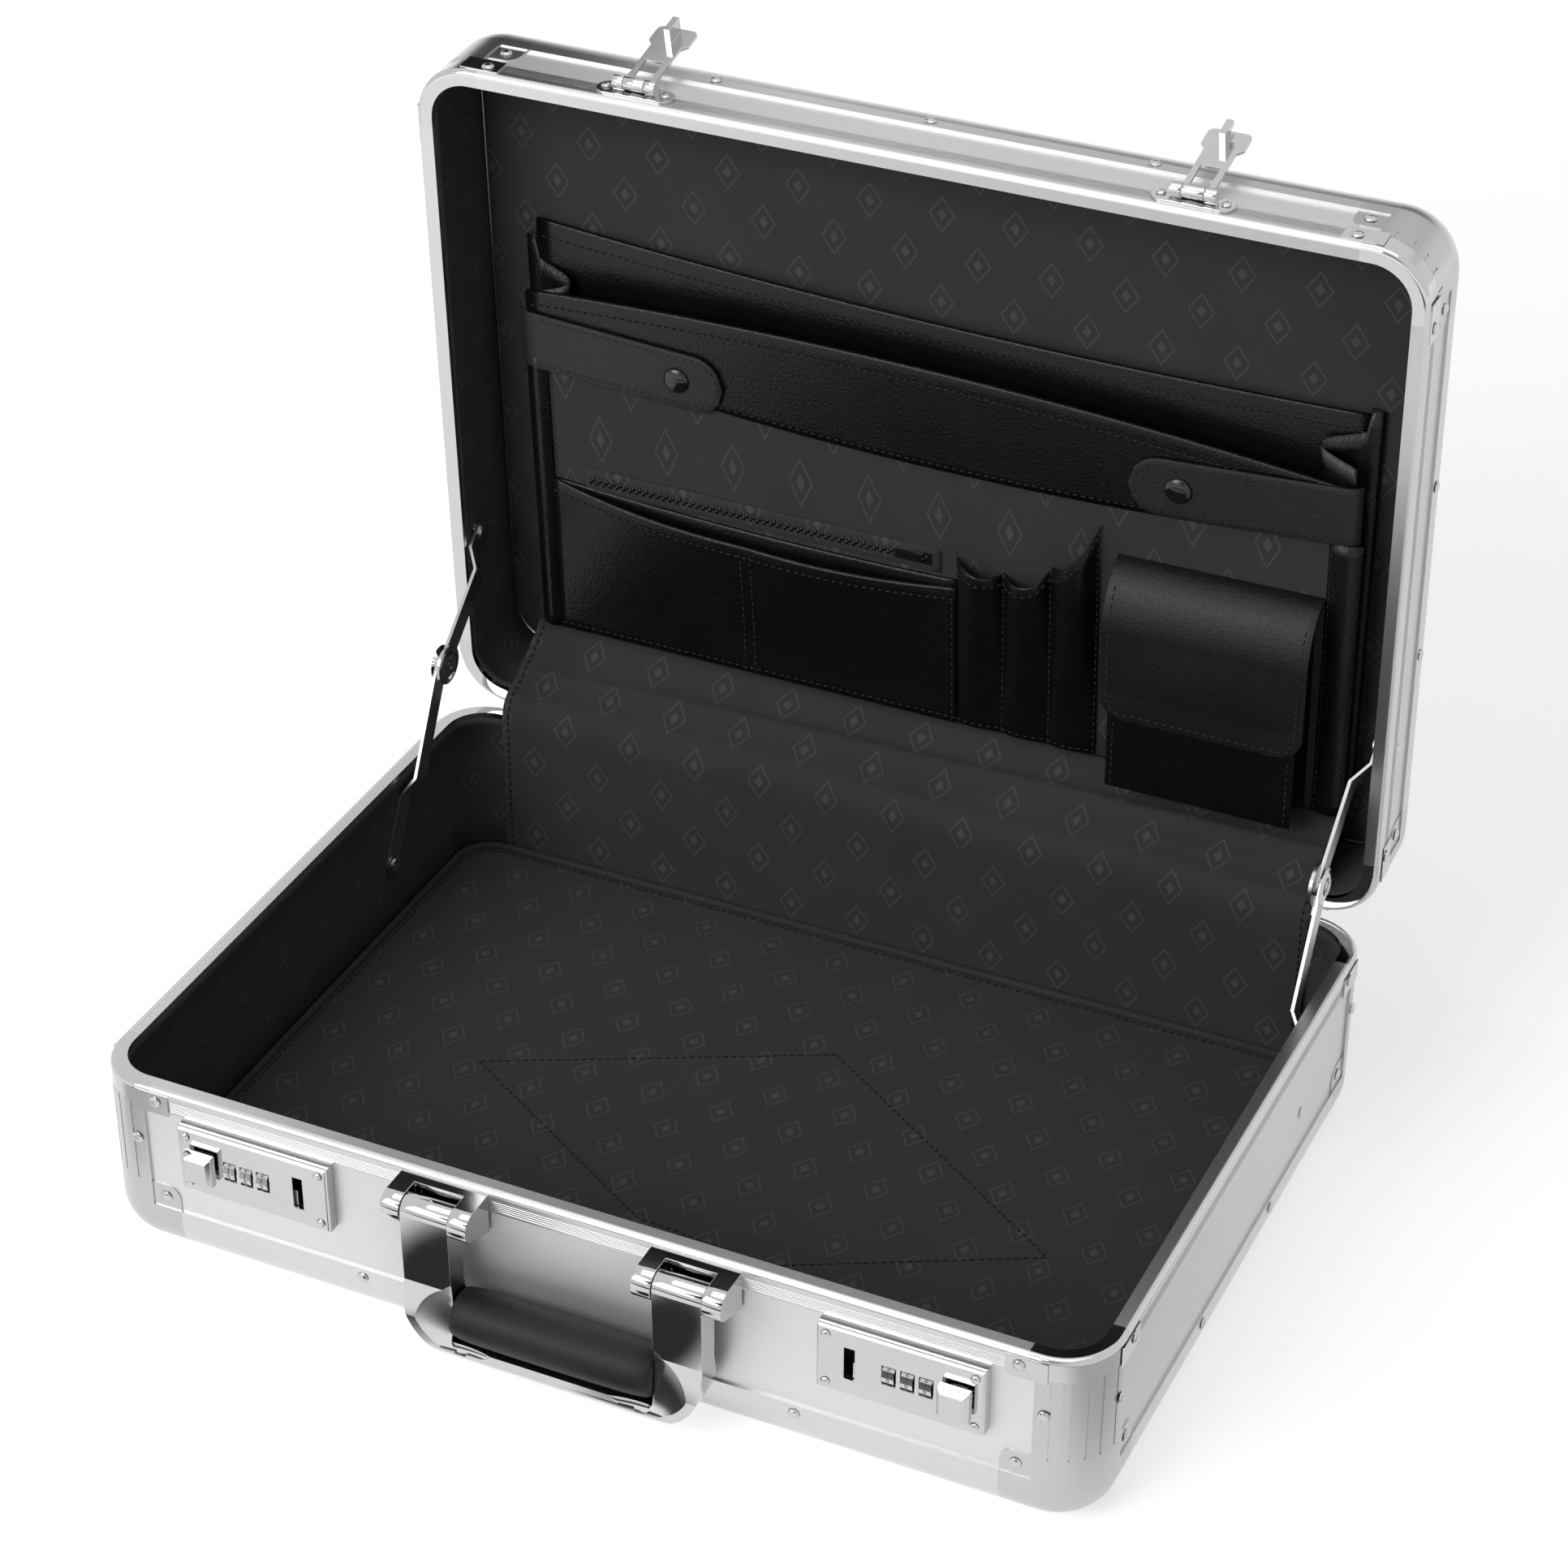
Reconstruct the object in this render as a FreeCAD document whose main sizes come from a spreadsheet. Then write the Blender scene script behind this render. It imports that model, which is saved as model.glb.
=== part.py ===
import FreeCAD, Part
import math
import os
import re

import Sketcher
from FreeCAD import Placement, Rotation, Vector

# Aluminium attache case, shown open: X runs along the handle side, -Y is the front with the
# handle and the locks, +Y the hinge side, Z up. The origin is the middle of the base's
# footprint on the surface that it lies on. Every length is in millimetres.

doc = FreeCAD.newDocument("attache_case")
sheet = doc.addObject("Spreadsheet::Sheet", "sizes")

SIZES = {
    # The whole case
    "case_width": 460.0,
    "case_depth": 330.0,
    "base_height": 90.0,
    "lid_height": 55.0,
    "open_angle": 87.4,
    "mouth_gap": 0.4,
    # Shell: profiles outside, boards behind them, lining inside
    "corner_round": 26.0,
    "edge_round": 20.0,
    "profile_sheet": 1.2,
    "board_thickness": 4.0,
    "lining_thickness": 1.3,
    "edge_flange": 26.0,
    "post_reach": 27.5,
    "cap_reach": 41.0,
    "cap_height": 38.0,
    "cap_tab_sheet": 0.6,
    "cap_tab_round": 6.0,
    "post_groove_width": 0.7,
    "post_groove_depth": 0.4,
    "floor_pad_thickness": 3.0,
    "floor_level": 14.0,
    "lid_pad_level": 9.0,
    "lid_pad_inset": 8.0,
    "pad_clearance": 0.2,
    # Mouth rails
    "rail_width": 7.5,
    "rail_flange": 11.0,
    "rail_cap": 4.0,
    "rail_lip": 1.0,
    "rail_lip_height": 7.0,
    "bead_round": 2.6,
    "rib_pitch": 1.1,
    "rib_groove": 0.45,
    "rib_depth": 0.3,
    "mouth_corner_reach": 31.0,
    "mouth_tab_reach": 40.0,
    "mouth_tab_end": 22.0,
    "mouth_tab_drop": 12.5,
    "mouth_tab_sheet": 0.6,
    # Domed rivets
    "rivet_radius": 3.2,
    "rivet_dome": 1.3,
    "rail_rivet_pitch": 100.0,
    "side_rivet_spread": 84.0,
    "rail_rivet_height": 21.4,
    "post_rivet_drop": 29.0,
    "post_rivet_inset": 23.0,
    "cap_rivet_inset": 34.0,
    "cap_rivet_height": 32.0,
    "mouth_rivet_inset": 34.0,
    "mouth_rivet_drop": 6.2,
    # Back hinges
    "hinge_inset": 105.0,
    "hinge_length": 44.0,
    "hinge_offset": 1.0,
    "hinge_leaf": 1.2,
    "hinge_leaf_height": 20.0,
    "knuckle_radius": 2.3,
    "knuckle_gap": 0.2,
    "hinge_pin_radius": 1.2,
    "notch_clearance": 0.4,
    "running_clearance": 0.05,
    # Handle and its brackets
    "bracket_share": 0.2487,
    "bracket_width": 40.0,
    "bracket_drop": 2.5,
    "bracket_height": 19.0,
    "bracket_back": 5.0,
    "ear_radius": 7.0,
    "ear_gap": 22.6,
    "handle_pivot_out": 13.0,
    "handle_pin_radius": 2.0,
    "handle_barrel_width": 22.0,
    "handle_barrel_radius": 6.4,
    "handle_foot": 12.5,
    "handle_bar": 9.0,
    "handle_bar_depth": 18.0,
    "handle_arm_depth": 11.0,
    "handle_corner": 27.0,
    "handle_rim": 4.0,
    "handle_dish_radius": 60.0,
    "grip_height": 23.0,
    "grip_depth": 25.0,
    "grip_seat": 0.2,
    # Combination locks
    "lock_inset": 82.25,
    "lock_width": 72.5,
    "lock_height": 33.0,
    "lock_drop": 29.0,
    "lock_proud": 4.5,
    "lock_sheet": 1.2,
    "lock_bevel": 1.0,
    "lock_rivet_radius": 2.5,
    "lock_rivet_inset": 4.2,
    "slot_offset": 21.75,
    "slot_width": 4.6,
    "slot_height": 16.0,
    "dial_offset": 3.25,
    "dial_pitch": 8.0,
    "dial_width": 5.2,
    "dial_radius": 5.0,
    "dial_axle_radius": 1.5,
    "dial_proud": 1.5,
    "dial_window_gap": 0.4,
    "lock_case_height": 14.0,
    "lock_case_sheet": 0.8,
    "button_offset": 24.55,
    "button_width": 14.0,
    "button_height": 15.0,
    "button_proud": 6.5,
    "button_gap": 1.4,
    "button_bevel": 2.0,
    "button_travel": 3.5,
    "button_stem": 6.0,
    "bolt_sheet": 1.5,
    "bolt_height": 3.6,
    "bolt_catch": 1.2,
    "spring_sheet": 0.5,
    # Hasps on the lid
    "hasp_depth": 8.5,
    "hasp_axis_out": 4.2,
    "hasp_plate": 1.2,
    "hasp_plate_length": 36.0,
    "hasp_plate_height": 11.0,
    "hasp_knuckle_radius": 3.0,
    "hasp_barrel_length": 20.0,
    "hasp_arm_knuckle": 9.6,
    "hasp_pin_radius": 1.2,
    "hasp_arm_sheet": 1.3,
    "hasp_arm_gap": 0.4,
    "hasp_arm_width": 14.0,
    "hasp_arm_end": 44.0,
    "hasp_window_width": 8.5,
    "hasp_window_start": 5.5,
    "hasp_window_end": 19.0,
    "hasp_finger_width": 19.0,
    "hasp_finger_start": 30.0,
    "hasp_prong_width": 3.0,
    "hasp_prong_height": 10.0,
    "hasp_prong_length": 7.0,
    "hasp_open_angle": 170.0,
    # Lid stays
    "stay_setback": 85.0,
    "stay_base_drop": 44.0,
    "stay_lid_depth": 14.5,
    "stay_lower_length": 98.4,
    "stay_upper_length": 67.0,
    "stay_width": 10.0,
    "stay_sheet": 1.5,
    "stay_pin_radius": 2.4,
    "stay_wall_gap": 0.3,
    "stay_offset": 6.0,
    "stay_lower_bend": 33.0,
    "stay_upper_bend": 10.0,
    "stay_bend_run": 10.0,
    "stay_disc_radius": 9.5,
    # Lid organiser, depths counted from the lid's mouth
    "organiser_margin": 33.0,
    "divider_height": 204.0,
    "organiser_height": 174.0,
    "organiser_foot_gap": 31.0,
    "divider_depth": 42.4,
    "organiser_depth": 32.0,
    "organiser_cloth": 1.6,
    "gusset_width": 8.0,
    "gusset_cloth": 1.0,
    "pocket_margin": 9.0,
    "pocket_height": 74.0,
    "pocket_foot_gap": 1.0,
    "pocket_thickness": 2.6,
    "pen_pockets_width": 68.0,
    "pen_pocket_rise": 34.0,
    "pen_pocket_proud": 10.0,
    "pouch_margin": 13.0,
    "pouch_width": 88.0,
    "pouch_gap": 12.0,
    "pouch_height": 111.0,
    "pouch_drop": 1.0,
    "pouch_thickness": 20.0,
    "pouch_wall": 2.0,
    "flap_overhang": 4.0,
    "flap_drop": 72.0,
    "flap_leather": 1.8,
    "strap_length": 100.0,
    "strap_height": 30.0,
    "strap_drop": 20.0,
    "strap_leather": 1.6,
    "snap_inset": 23.0,
    "snap_radius": 6.0,
    "snap_height": 2.2,
    "zip_margin": 16.0,
    "zip_end_gap": 12.0,
    "zip_rise": 11.0,
    "zip_width": 12.0,
    "zip_tape": 0.8,
    "zip_slider_length": 9.0,
    # Cloth apron over the hinge line
    "apron_margin": 64.0,
    "apron_cloth": 0.8,
    "apron_floor_gap": 2.0,
    "apron_rise": 4.5,
    "apron_end_gap": 2.8,
}

for row, (alias, number) in enumerate(SIZES.items(), 1):
    sheet.set(f"A{row}", alias)
    sheet.set(f"B{row}", str(number))
    sheet.setAlias(f"B{row}", alias)
doc.recompute()

# Places and lengths that follow from the sizes, so that fittings keep to the edges they belong to
FOLLOWING = {
    "lock_level": "base_height - lock_drop",
    "lock_centre": "case_width / 2 - lock_inset",
    "slot_place": "lock_centre - slot_offset",
    "dial_place": "lock_centre + dial_offset",
    "button_place": "lock_centre + button_offset",
    "bracket_top": "base_height - bracket_drop",
    "bracket_foot": "bracket_top - bracket_height",
    "bracket_spacing": "bracket_share * case_width",
    "handle_drop": "bracket_top - ear_radius - handle_foot",
    "post_rivet_height": "base_height - post_rivet_drop",
    "hinge_spacing": "case_width - 2 * hinge_inset",
    "stay_pivot_y": "case_depth / 2 - stay_setback",
    "stay_base_z": "base_height - stay_base_drop",
    "organiser_width": "case_width - 2 * organiser_margin",
    "organiser_foot": "case_depth / 2 - organiser_foot_gap",
    "organiser_top": "organiser_foot - organiser_height",
    "divider_top": "organiser_foot - divider_height",
    "pouch_right": "organiser_width / 2 - pouch_margin",
    "pouch_left": "pouch_right - pouch_width",
    "pouch_foot": "organiser_foot + pouch_drop",
    "pouch_top": "pouch_foot - pouch_height",
    "pen_pockets_right": "pouch_left - pouch_gap",
    "pocket_right": "pen_pockets_right - pen_pockets_width",
    "pocket_left": "pocket_margin - organiser_width / 2",
    "pocket_foot": "organiser_foot - pocket_foot_gap",
    "pocket_top": "pocket_foot - pocket_height",
    "strap_centre": "organiser_top + strap_drop",
    "zip_left": "pocket_left + zip_margin",
    "zip_right": "pocket_right - zip_end_gap",
    "zip_centre": "pocket_top - zip_rise",
    "apron_width": "case_width - apron_margin",
    "apron_foot": "floor_level + apron_floor_gap",
}


def any_of(names):
    return re.compile(r"\b(" + "|".join(names) + r")\b")


SIZE_NAMES = any_of(SIZES)
FOLLOWING_NAMES = any_of(FOLLOWING)


def expanded(expression):
    """The expression in terms of the sizes alone."""
    text = str(expression)
    while FOLLOWING_NAMES.search(text):
        text = FOLLOWING_NAMES.sub(lambda found: f"({FOLLOWING[found.group()]})", text)
    return text


def qualified(expression):
    """The expression with every size named through the sheet."""
    return SIZE_NAMES.sub(r"sizes.\1", expanded(expression))


def value(expression):
    """The number that an expression of sizes comes to."""
    result = sheet.evalExpression(expanded(expression))
    return float(getattr(result, "Value", result))


def bind(item, **expressions):
    """Ties properties of a document object to sizes; a double underscore stands for a dot."""
    for prop, expression in expressions.items():
        item.setExpression(prop.replace("__", "."), qualified(expression))
    return item


def plane_of(body, role):
    return next(f for f in body.Origin.OriginFeatures if f.Role == role)


def block(name, x, y, z):
    """A box between two expressions along each axis."""
    item = doc.addObject("Part::Box", name)
    bind(item, Length=f"({x[1]}) - ({x[0]})", Width=f"({y[1]}) - ({y[0]})",
         Height=f"({z[1]}) - ({z[0]})")
    bind(item, Placement__Base__x=x[0], Placement__Base__y=y[0], Placement__Base__z=z[0])
    return item


AXIS_TURN = {
    "X": Rotation(Vector(0, 1, 0), 90),
    "Y": Rotation(Vector(1, 0, 0), -90),
    "Z": Rotation(),
}


def rod(name, axis, radius, start, length):
    """A cylinder along an axis from a start point."""
    item = doc.addObject("Part::Cylinder", name)
    item.Placement = Placement(Vector(), AXIS_TURN[axis])
    bind(item, Radius=radius, Height=length)
    bind(item, Placement__Base__x=start[0], Placement__Base__y=start[1], Placement__Base__z=start[2])
    return item


def group(name, items):
    item = doc.addObject("Part::Compound", name)
    item.Links = items
    return item


def fuse(name, items):
    item = doc.addObject("Part::MultiFuse", name)
    item.Shapes = items
    item.Refine = True
    return item


def cut(name, base, tools):
    item = doc.addObject("Part::Cut", name)
    item.Base = base
    item.Tool = tools[0] if len(tools) == 1 else group(name + "_tools", tools)
    return item


def common(name, base, tool):
    item = doc.addObject("Part::Common", name)
    item.Base = base
    item.Tool = tool
    return item


def mirrored(name, source, normal):
    item = doc.addObject("Part::Mirroring", name)
    item.Source = source
    item.Normal = normal
    return item


def both_sides(name, right):
    """A piece and its mirror image left of the middle."""
    return group(name, [right, mirrored(name + "_left", right, Vector(1, 0, 0))])


def four_corners(name, piece):
    """A corner piece repeated on all four corners."""
    pair = [piece, mirrored(name + "_across", piece, Vector(1, 0, 0))]
    back = [mirrored(name + "_back", item, Vector(0, 1, 0)) for item in pair]
    return group(name, pair + back)


# Direction along which each origin plane's sketch is padded, and how its two coordinates lie.
PAD_AXIS = {"XY_Plane": Vector(0, 0, 1), "XZ_Plane": Vector(0, 1, 0), "YZ_Plane": Vector(1, 0, 0)}


def in_space(plane, across, up):
    if plane == "XY_Plane":
        return Vector(across, up, 0)
    if plane == "XZ_Plane":
        return Vector(across, 0, up)
    return Vector(0, across, up)


def profile(name, plane, outline, low, high, rounds=None):
    """A body padded from a closed outline of pinned corners, with chosen corners rounded.

    The outline lists pairs of expressions; rounds maps a corner's number to its radius.
    """
    body = doc.addObject("PartDesign::Body", name)
    sketch = body.newObject("Sketcher::SketchObject", name + "_outline")
    sketch.AttachmentSupport = [(plane_of(body, plane), "")]
    sketch.MapMode = "FlatFace"
    corners = [(value(across), value(up)) for across, up in outline]
    count = len(corners)
    for i in range(count):
        sketch.addGeometry(Part.LineSegment(Vector(*corners[i], 0), Vector(*corners[(i + 1) % count],
                0)))
    for i in range(count):
        sketch.addConstraint(Sketcher.Constraint("Coincident", i, 2, (i + 1) % count, 1))
    for i in range(count):
        for kind, number, expression in zip(("DistanceX", "DistanceY"), corners[i], outline[i]):
            index = sketch.addConstraint(Sketcher.Constraint(kind, -1, 1, i, 1, number))
            label = f"corner{i}{kind[-1]}"
            sketch.renameConstraint(index, label)
            sketch.setExpression("Constraints." + label, qualified(expression))
    start = f"-({high})" if plane == "XZ_Plane" else low
    bind(sketch, AttachmentOffset__Base__z=start)
    pad = body.newObject("PartDesign::Pad", name + "_pad")
    pad.Profile = sketch
    bind(pad, Length=f"({high}) - ({low})")
    doc.recompute()
    feature = pad
    for radius in sorted(set((rounds or {}).values())):
        wanted = [in_space(plane, *corners[i]) for i, size in rounds.items() if size == radius]
        feature = rounded_edges(body, feature, edges_along(feature.Shape, PAD_AXIS[plane], wanted),
                                radius)
    return body


def edges_along(shape, axis, places):
    """Names of the edges that run along an axis through the given places."""
    names = []
    for number, edge in enumerate(shape.Edges, 1):
        ends = [vertex.Point for vertex in edge.Vertexes]
        if len(ends) != 2 or (ends[1] - ends[0]).cross(axis).Length > 1e-6:
            continue
        if any((ends[0] - place).cross(axis).Length < 1e-4 for place in places):
            names.append(f"Edge{number}")
    return names


def edges_at_level(shape, level):
    """Names of the edges that lie flat at a height."""
    names = []
    for number, edge in enumerate(shape.Edges, 1):
        box = edge.BoundBox
        if abs(box.ZMin - level) < 1e-4 and abs(box.ZMax - level) < 1e-4:
            names.append(f"Edge{number}")
    return names


def rounded_edges(body, feature, names, radius, kind="Fillet"):
    """A fillet, or a chamfer, on named edges of a body's last feature."""
    item = body.newObject("PartDesign::" + kind, f"{body.Name}_{kind}".lower())
    item.Base = (feature, names)
    bind(item, **{"Radius" if kind == "Fillet" else "Size": radius})
    doc.recompute()
    return item


def slab(name, inset, low, high):
    """A prism of the case's plan, drawn in evenly from the outside."""
    across = f"case_width / 2 - ({inset})"
    along = f"case_depth / 2 - ({inset})"
    outline = [(f"-({across})", f"-({along})"), (across, f"-({along})"), (across, along),
               (f"-({across})", along)]
    radius = f"corner_round - ({inset})"
    return profile(name, "XY_Plane", outline, low, high, {i: radius for i in range(4)})


def tray_form(name, inset, height):
    """The outer form of one half with its closed end down and rounded, drawn in evenly."""
    body = slab(name, inset, inset, height)
    names = edges_at_level(body.Tip.Shape, value(inset))
    rounded_edges(body, body.Tip, names, f"edge_round - ({inset})")
    return body


PARTS = {}


def part(name, item):
    """Registers a finished sub-part under the name of its file."""
    item.Label = name
    PARTS[name] = item
    return item


# Placements: the lid is drawn closed over the base and swung open about the hinge line

HINGE_Y = "case_depth / 2 + hinge_offset"
HINGE_POINT = Vector(0, value(HINGE_Y), value("base_height"))
OPENING = Placement(Vector(), Rotation(Vector(1, 0, 0), -value("open_angle")), HINGE_POINT)
TURNED_OVER = Placement(Vector(0, 0, value("base_height + lid_height")), Rotation(Vector(1, 0, 0), 180))


def opened(item):
    """Swings a piece drawn on the closed lid to its place on the open lid."""
    item.Placement = OPENING.multiply(item.Placement)
    return item


# Rivets: one domed head, repeated wherever two sheets are joined

def dome_shape(radius, height):
    """An eight-sided domed head in two tiers that stands on the plane z = 0."""
    rings = []
    for share, level in ((1.0, 0.0), (0.84, 0.6), (0.42, 1.0)):
        ring = Part.makePolygon([Vector(share * radius * math.cos(math.pi * step / 4),
                                        share * radius * math.sin(math.pi * step / 4), level * height)
                                 for step in range(9)])
        rings.append(ring)
    return Part.makeLoft(rings, True, True)


def facing(shape, place, direction):
    """A copy of a shape moved to a place with its z axis turned to a direction."""
    copy = shape.copy()
    copy.Placement = Placement(place, Rotation(Vector(0, 0, 1), direction)).multiply(copy.Placement)
    return copy


def side_places(inset_along_front, inset_along_side, height, depth):
    """Mirrored places on the four walls: two on each long wall and two on each short one.

    depth is how far inside the outer form the wall's surface lies.
    """
    across = value("case_width / 2")
    along = value("case_depth / 2")
    places = []
    for side in (-1, 1):
        for end in (-1, 1):
            front = Vector(side * (across - inset_along_front), end * (along - depth), height)
            places.append((front, Vector(0, end, 0)))
            wing = Vector(side * (across - depth), end * (along - inset_along_side), height)
            places.append((wing, Vector(side, 0, 0)))
    return places


def shell_rivets(height, with_posts):
    """Rivet heads of one half, in its own frame with the closed end at z = 0."""
    head = dome_shape(value("rivet_radius"), value("rivet_dome"))
    across = value("case_width / 2")
    along = value("case_depth / 2")
    level = value("rail_rivet_height")
    places = []
    for end in (-1, 1):
        for step in (-1, 0, 1):
            places.append((Vector(step * value("rail_rivet_pitch"), end * along, level), Vector(0,
                    end, 0)))
        for step in (-0.5, 0.5):
            places.append((Vector(end * across, step * value("side_rivet_spread"), level), Vector(end,
                    0, 0)))
    tab = value("profile_sheet - cap_tab_sheet")
    inset = value("cap_rivet_inset")
    places += side_places(inset, inset, value("cap_rivet_height"), tab)
    inset = value("mouth_rivet_inset")
    places += side_places(inset, inset, height - value("mouth_rivet_drop"), -value("mouth_tab_sheet"))
    if with_posts:
        inset = value("post_rivet_inset")
        places += side_places(inset, inset, value("post_rivet_height"), 0)
    return [facing(head, place, direction) for place, direction in places]


# The shell of one half: boards, edge rails, posts, caps, mouth rails, lining

WALL = "profile_sheet + board_thickness"
LINED = "profile_sheet + board_thickness + lining_thickness"
HALF_X = "case_width / 2"
HALF_Y = "case_depth / 2"


def wall_boards(name, height, front_openings):
    """Four faced boards that stand between the corner posts; the front one may have openings."""
    top = f"{height} - rail_cap"
    outer_y = f"{HALF_Y} - profile_sheet"
    inner_y = f"{HALF_Y} - ({WALL})"
    outer_x = f"{HALF_X} - profile_sheet"
    inner_x = f"{HALF_X} - ({WALL})"
    run_x = f"{HALF_X} - corner_round"
    run_y = f"{HALF_Y} - corner_round"
    span = ("edge_round", top)
    front = block(name + "_front", (f"-({run_x})", run_x), (f"-({outer_y})", f"-({inner_y})"), span)
    if front_openings:
        front = cut(name + "_front_cut", front, front_openings)
    back = block(name + "_rear", (f"-({run_x})", run_x), (inner_y, outer_y), span)
    right = block(name + "_right", (inner_x, outer_x), (f"-({run_y})", run_y), span)
    left = mirrored(name + "_left", right, Vector(1, 0, 0))
    return group(name, [front, back, right, left])


def edge_rails(name, skin):
    """Four rounded edge profiles between the corner caps."""
    run_x = f"{HALF_X} - cap_reach"
    run_y = f"{HALF_Y} - cap_reach"
    low = ("0", "edge_flange")
    back = block(name + "_rear_zone", (f"-({run_x})", run_x), (f"{HALF_Y} - edge_flange", HALF_Y), low)
    right = block(name + "_right_zone", (f"{HALF_X} - edge_flange", HALF_X), (f"-({run_y})", run_y),
                  low)
    zones = [back, mirrored(name + "_front_zone", back, Vector(0, 1, 0))]
    zones += [right, mirrored(name + "_left_zone", right, Vector(1, 0, 0))]
    return common(name, skin, group(name + "_zones", zones))


def corner_posts(name, skin, height):
    """Four upright corner profiles from the caps to the mouth rails, grooved along their length."""
    zone = block(name + "_zone", (f"{HALF_X} - post_reach", HALF_X), (f"{HALF_Y} - post_reach", HALF_Y),
                 ("cap_height", f"{height} - rail_flange"))
    post = common(name + "_plain", skin, zone)
    grooves = []
    for number, turn in enumerate((12, 30, 45, 60, 78)):
        groove = doc.addObject("Part::Box", f"{name}_groove{number}")
        bind(groove, Length="2 * post_groove_depth", Width="post_groove_width",
             Height=f"2 * ({height})")
        axis = Vector(value(f"{HALF_X} - corner_round"), value(f"{HALF_Y} - corner_round"), 0)
        reach = Vector(value("corner_round - post_groove_depth"), -value("post_groove_width / 2"), 0)
        swing = Rotation(Vector(0, 0, 1), turn)
        groove.Placement = Placement(axis + swing.multVec(reach), swing)
        grooves.append(groove)
    return four_corners(name, cut(name + "_one", post, grooves))


def corner_caps(name, skin):
    """Four ball corners, each with a thin riveted tab in the corner of either wall."""
    post_x = f"{HALF_X} - post_reach"
    post_y = f"{HALF_Y} - post_reach"
    cap_x = f"{HALF_X} - cap_reach"
    cap_y = f"{HALF_Y} - cap_reach"
    column = block(name + "_column", (post_x, HALF_X), (post_y, HALF_Y), ("0", "cap_height"))
    arm_x = block(name + "_arm_x", (cap_x, HALF_X), (f"{HALF_Y} - edge_flange", HALF_Y), ("0",
            "edge_flange"))
    arm_y = block(name + "_arm_y", (f"{HALF_X} - edge_flange", HALF_X), (cap_y, HALF_Y), ("0",
            "edge_flange"))
    ball = common(name + "_ball", skin, fuse(name + "_zone", [column, arm_x, arm_y]))
    tab_x = profile(name + "_tab_x", "XZ_Plane",
                    [(cap_x, "edge_flange"), (post_x, "edge_flange"), (post_x, "cap_height"), (cap_x,
                            "cap_height")],
                    f"{HALF_Y} - profile_sheet", f"{HALF_Y} - profile_sheet + cap_tab_sheet",
                    {3: "cap_tab_round"})
    tab_y = profile(name + "_tab_y", "YZ_Plane",
                    [(cap_y, "edge_flange"), (post_y, "edge_flange"), (post_y, "cap_height"), (cap_y,
                            "cap_height")],
                    f"{HALF_X} - profile_sheet", f"{HALF_X} - profile_sheet + cap_tab_sheet",
                    {3: "cap_tab_round"})
    return four_corners(name, fuse(name + "_one", [ball, tab_x, tab_y]))


def mouth_ring(name, height, hinge_notch):
    """The mouth profile as one ring: bead on top, flange outside, lip inside, channel below."""
    low = f"{height} - rail_flange"
    top = f"{height} - mouth_gap / 2"
    outer = slab(name + "_outer", "0", low, top)
    rounded_edges(outer, outer.Tip, edges_at_level(outer.Tip.Shape, value(top)), "bead_round")
    hollow = slab(name + "_hollow", "rail_width", f"{low} - 1", f"{top} + 1")
    foot = slab(name + "_foot", "profile_sheet", f"{low} - 1", f"{height} - rail_lip_height")
    channel = slab(name + "_channel", "profile_sheet", f"{height} - rail_lip_height",
                   f"{height} - rail_cap")
    core = slab(name + "_core", "rail_width - rail_lip", f"{height} - rail_lip_height",
                f"{height} - rail_cap")
    ring = cut(name + "_section", outer, [hollow])
    ring = cut(name + "_footed", ring, [foot])
    return cut(name, ring, [cut(name + "_slot", channel, [core]), hinge_notch])


def mouth_rails(name, ring, height):
    """Four straight mouth profiles with fine ribs along the outer flange."""
    run_x = f"{HALF_X} - mouth_corner_reach"
    run_y = f"{HALF_Y} - mouth_corner_reach"
    tall = (f"{height} - 2 * rail_flange", f"{height} + rail_flange")
    back = block(name + "_rear_zone", (f"-({run_x})", run_x), (f"{HALF_Y} - 2 * rail_width", HALF_Y),
                 tall)
    right = block(name + "_right_zone", (f"{HALF_X} - 2 * rail_width", HALF_X), (f"-({run_y})",
            run_y), tall)
    zones = [back, mirrored(name + "_front_zone", back, Vector(0, 1, 0))]
    zones += [right, mirrored(name + "_left_zone", right, Vector(1, 0, 0))]
    plain = common(name + "_plain", ring, group(name + "_zones", zones))
    grooves = []
    for number in range(5):
        start = f"{height} - rail_flange + {number + 1} * rib_pitch"
        level = (start, f"{start} + rib_groove")
        rear = block(f"{name}_rear_groove{number}", (f"-({HALF_X})", HALF_X),
                     (f"{HALF_Y} - rib_depth", HALF_Y), level)
        wing = block(f"{name}_wing_groove{number}", (f"{HALF_X} - rib_depth", HALF_X), (f"-({run_y})",
                run_y), level)
        grooves += [rear, mirrored(rear.Name + "_m", rear, Vector(0, 1, 0))]
        grooves += [wing, mirrored(wing.Name + "_m", wing, Vector(1, 0, 0))]
    return cut(name, plain, grooves)


def mouth_corners(name, ring, height):
    """Four bright corner pieces that carry the bead round the corner, with two riveted tabs each."""
    zone = block(name + "_zone", (f"{HALF_X} - mouth_corner_reach", HALF_X),
                 (f"{HALF_Y} - mouth_corner_reach", HALF_Y), (f"{height} - 2 * rail_flange",
                         f"{height} + rail_flange"))
    bend = common(name + "_bend", ring, zone)
    span = (f"{height} - mouth_tab_drop", f"{height} - bead_round")
    tab_x = block(name + "_tab_x", (f"{HALF_X} - mouth_tab_reach", f"{HALF_X} - mouth_tab_end"),
                  (f"{HALF_Y}", f"{HALF_Y} + mouth_tab_sheet"), span)
    tab_y = block(name + "_tab_y", (f"{HALF_X}", f"{HALF_X} + mouth_tab_sheet"),
                  (f"{HALF_Y} - mouth_tab_reach", f"{HALF_Y} - mouth_tab_end"), span)
    return four_corners(name, fuse(name + "_one", [bend, tab_x, tab_y]))


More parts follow.
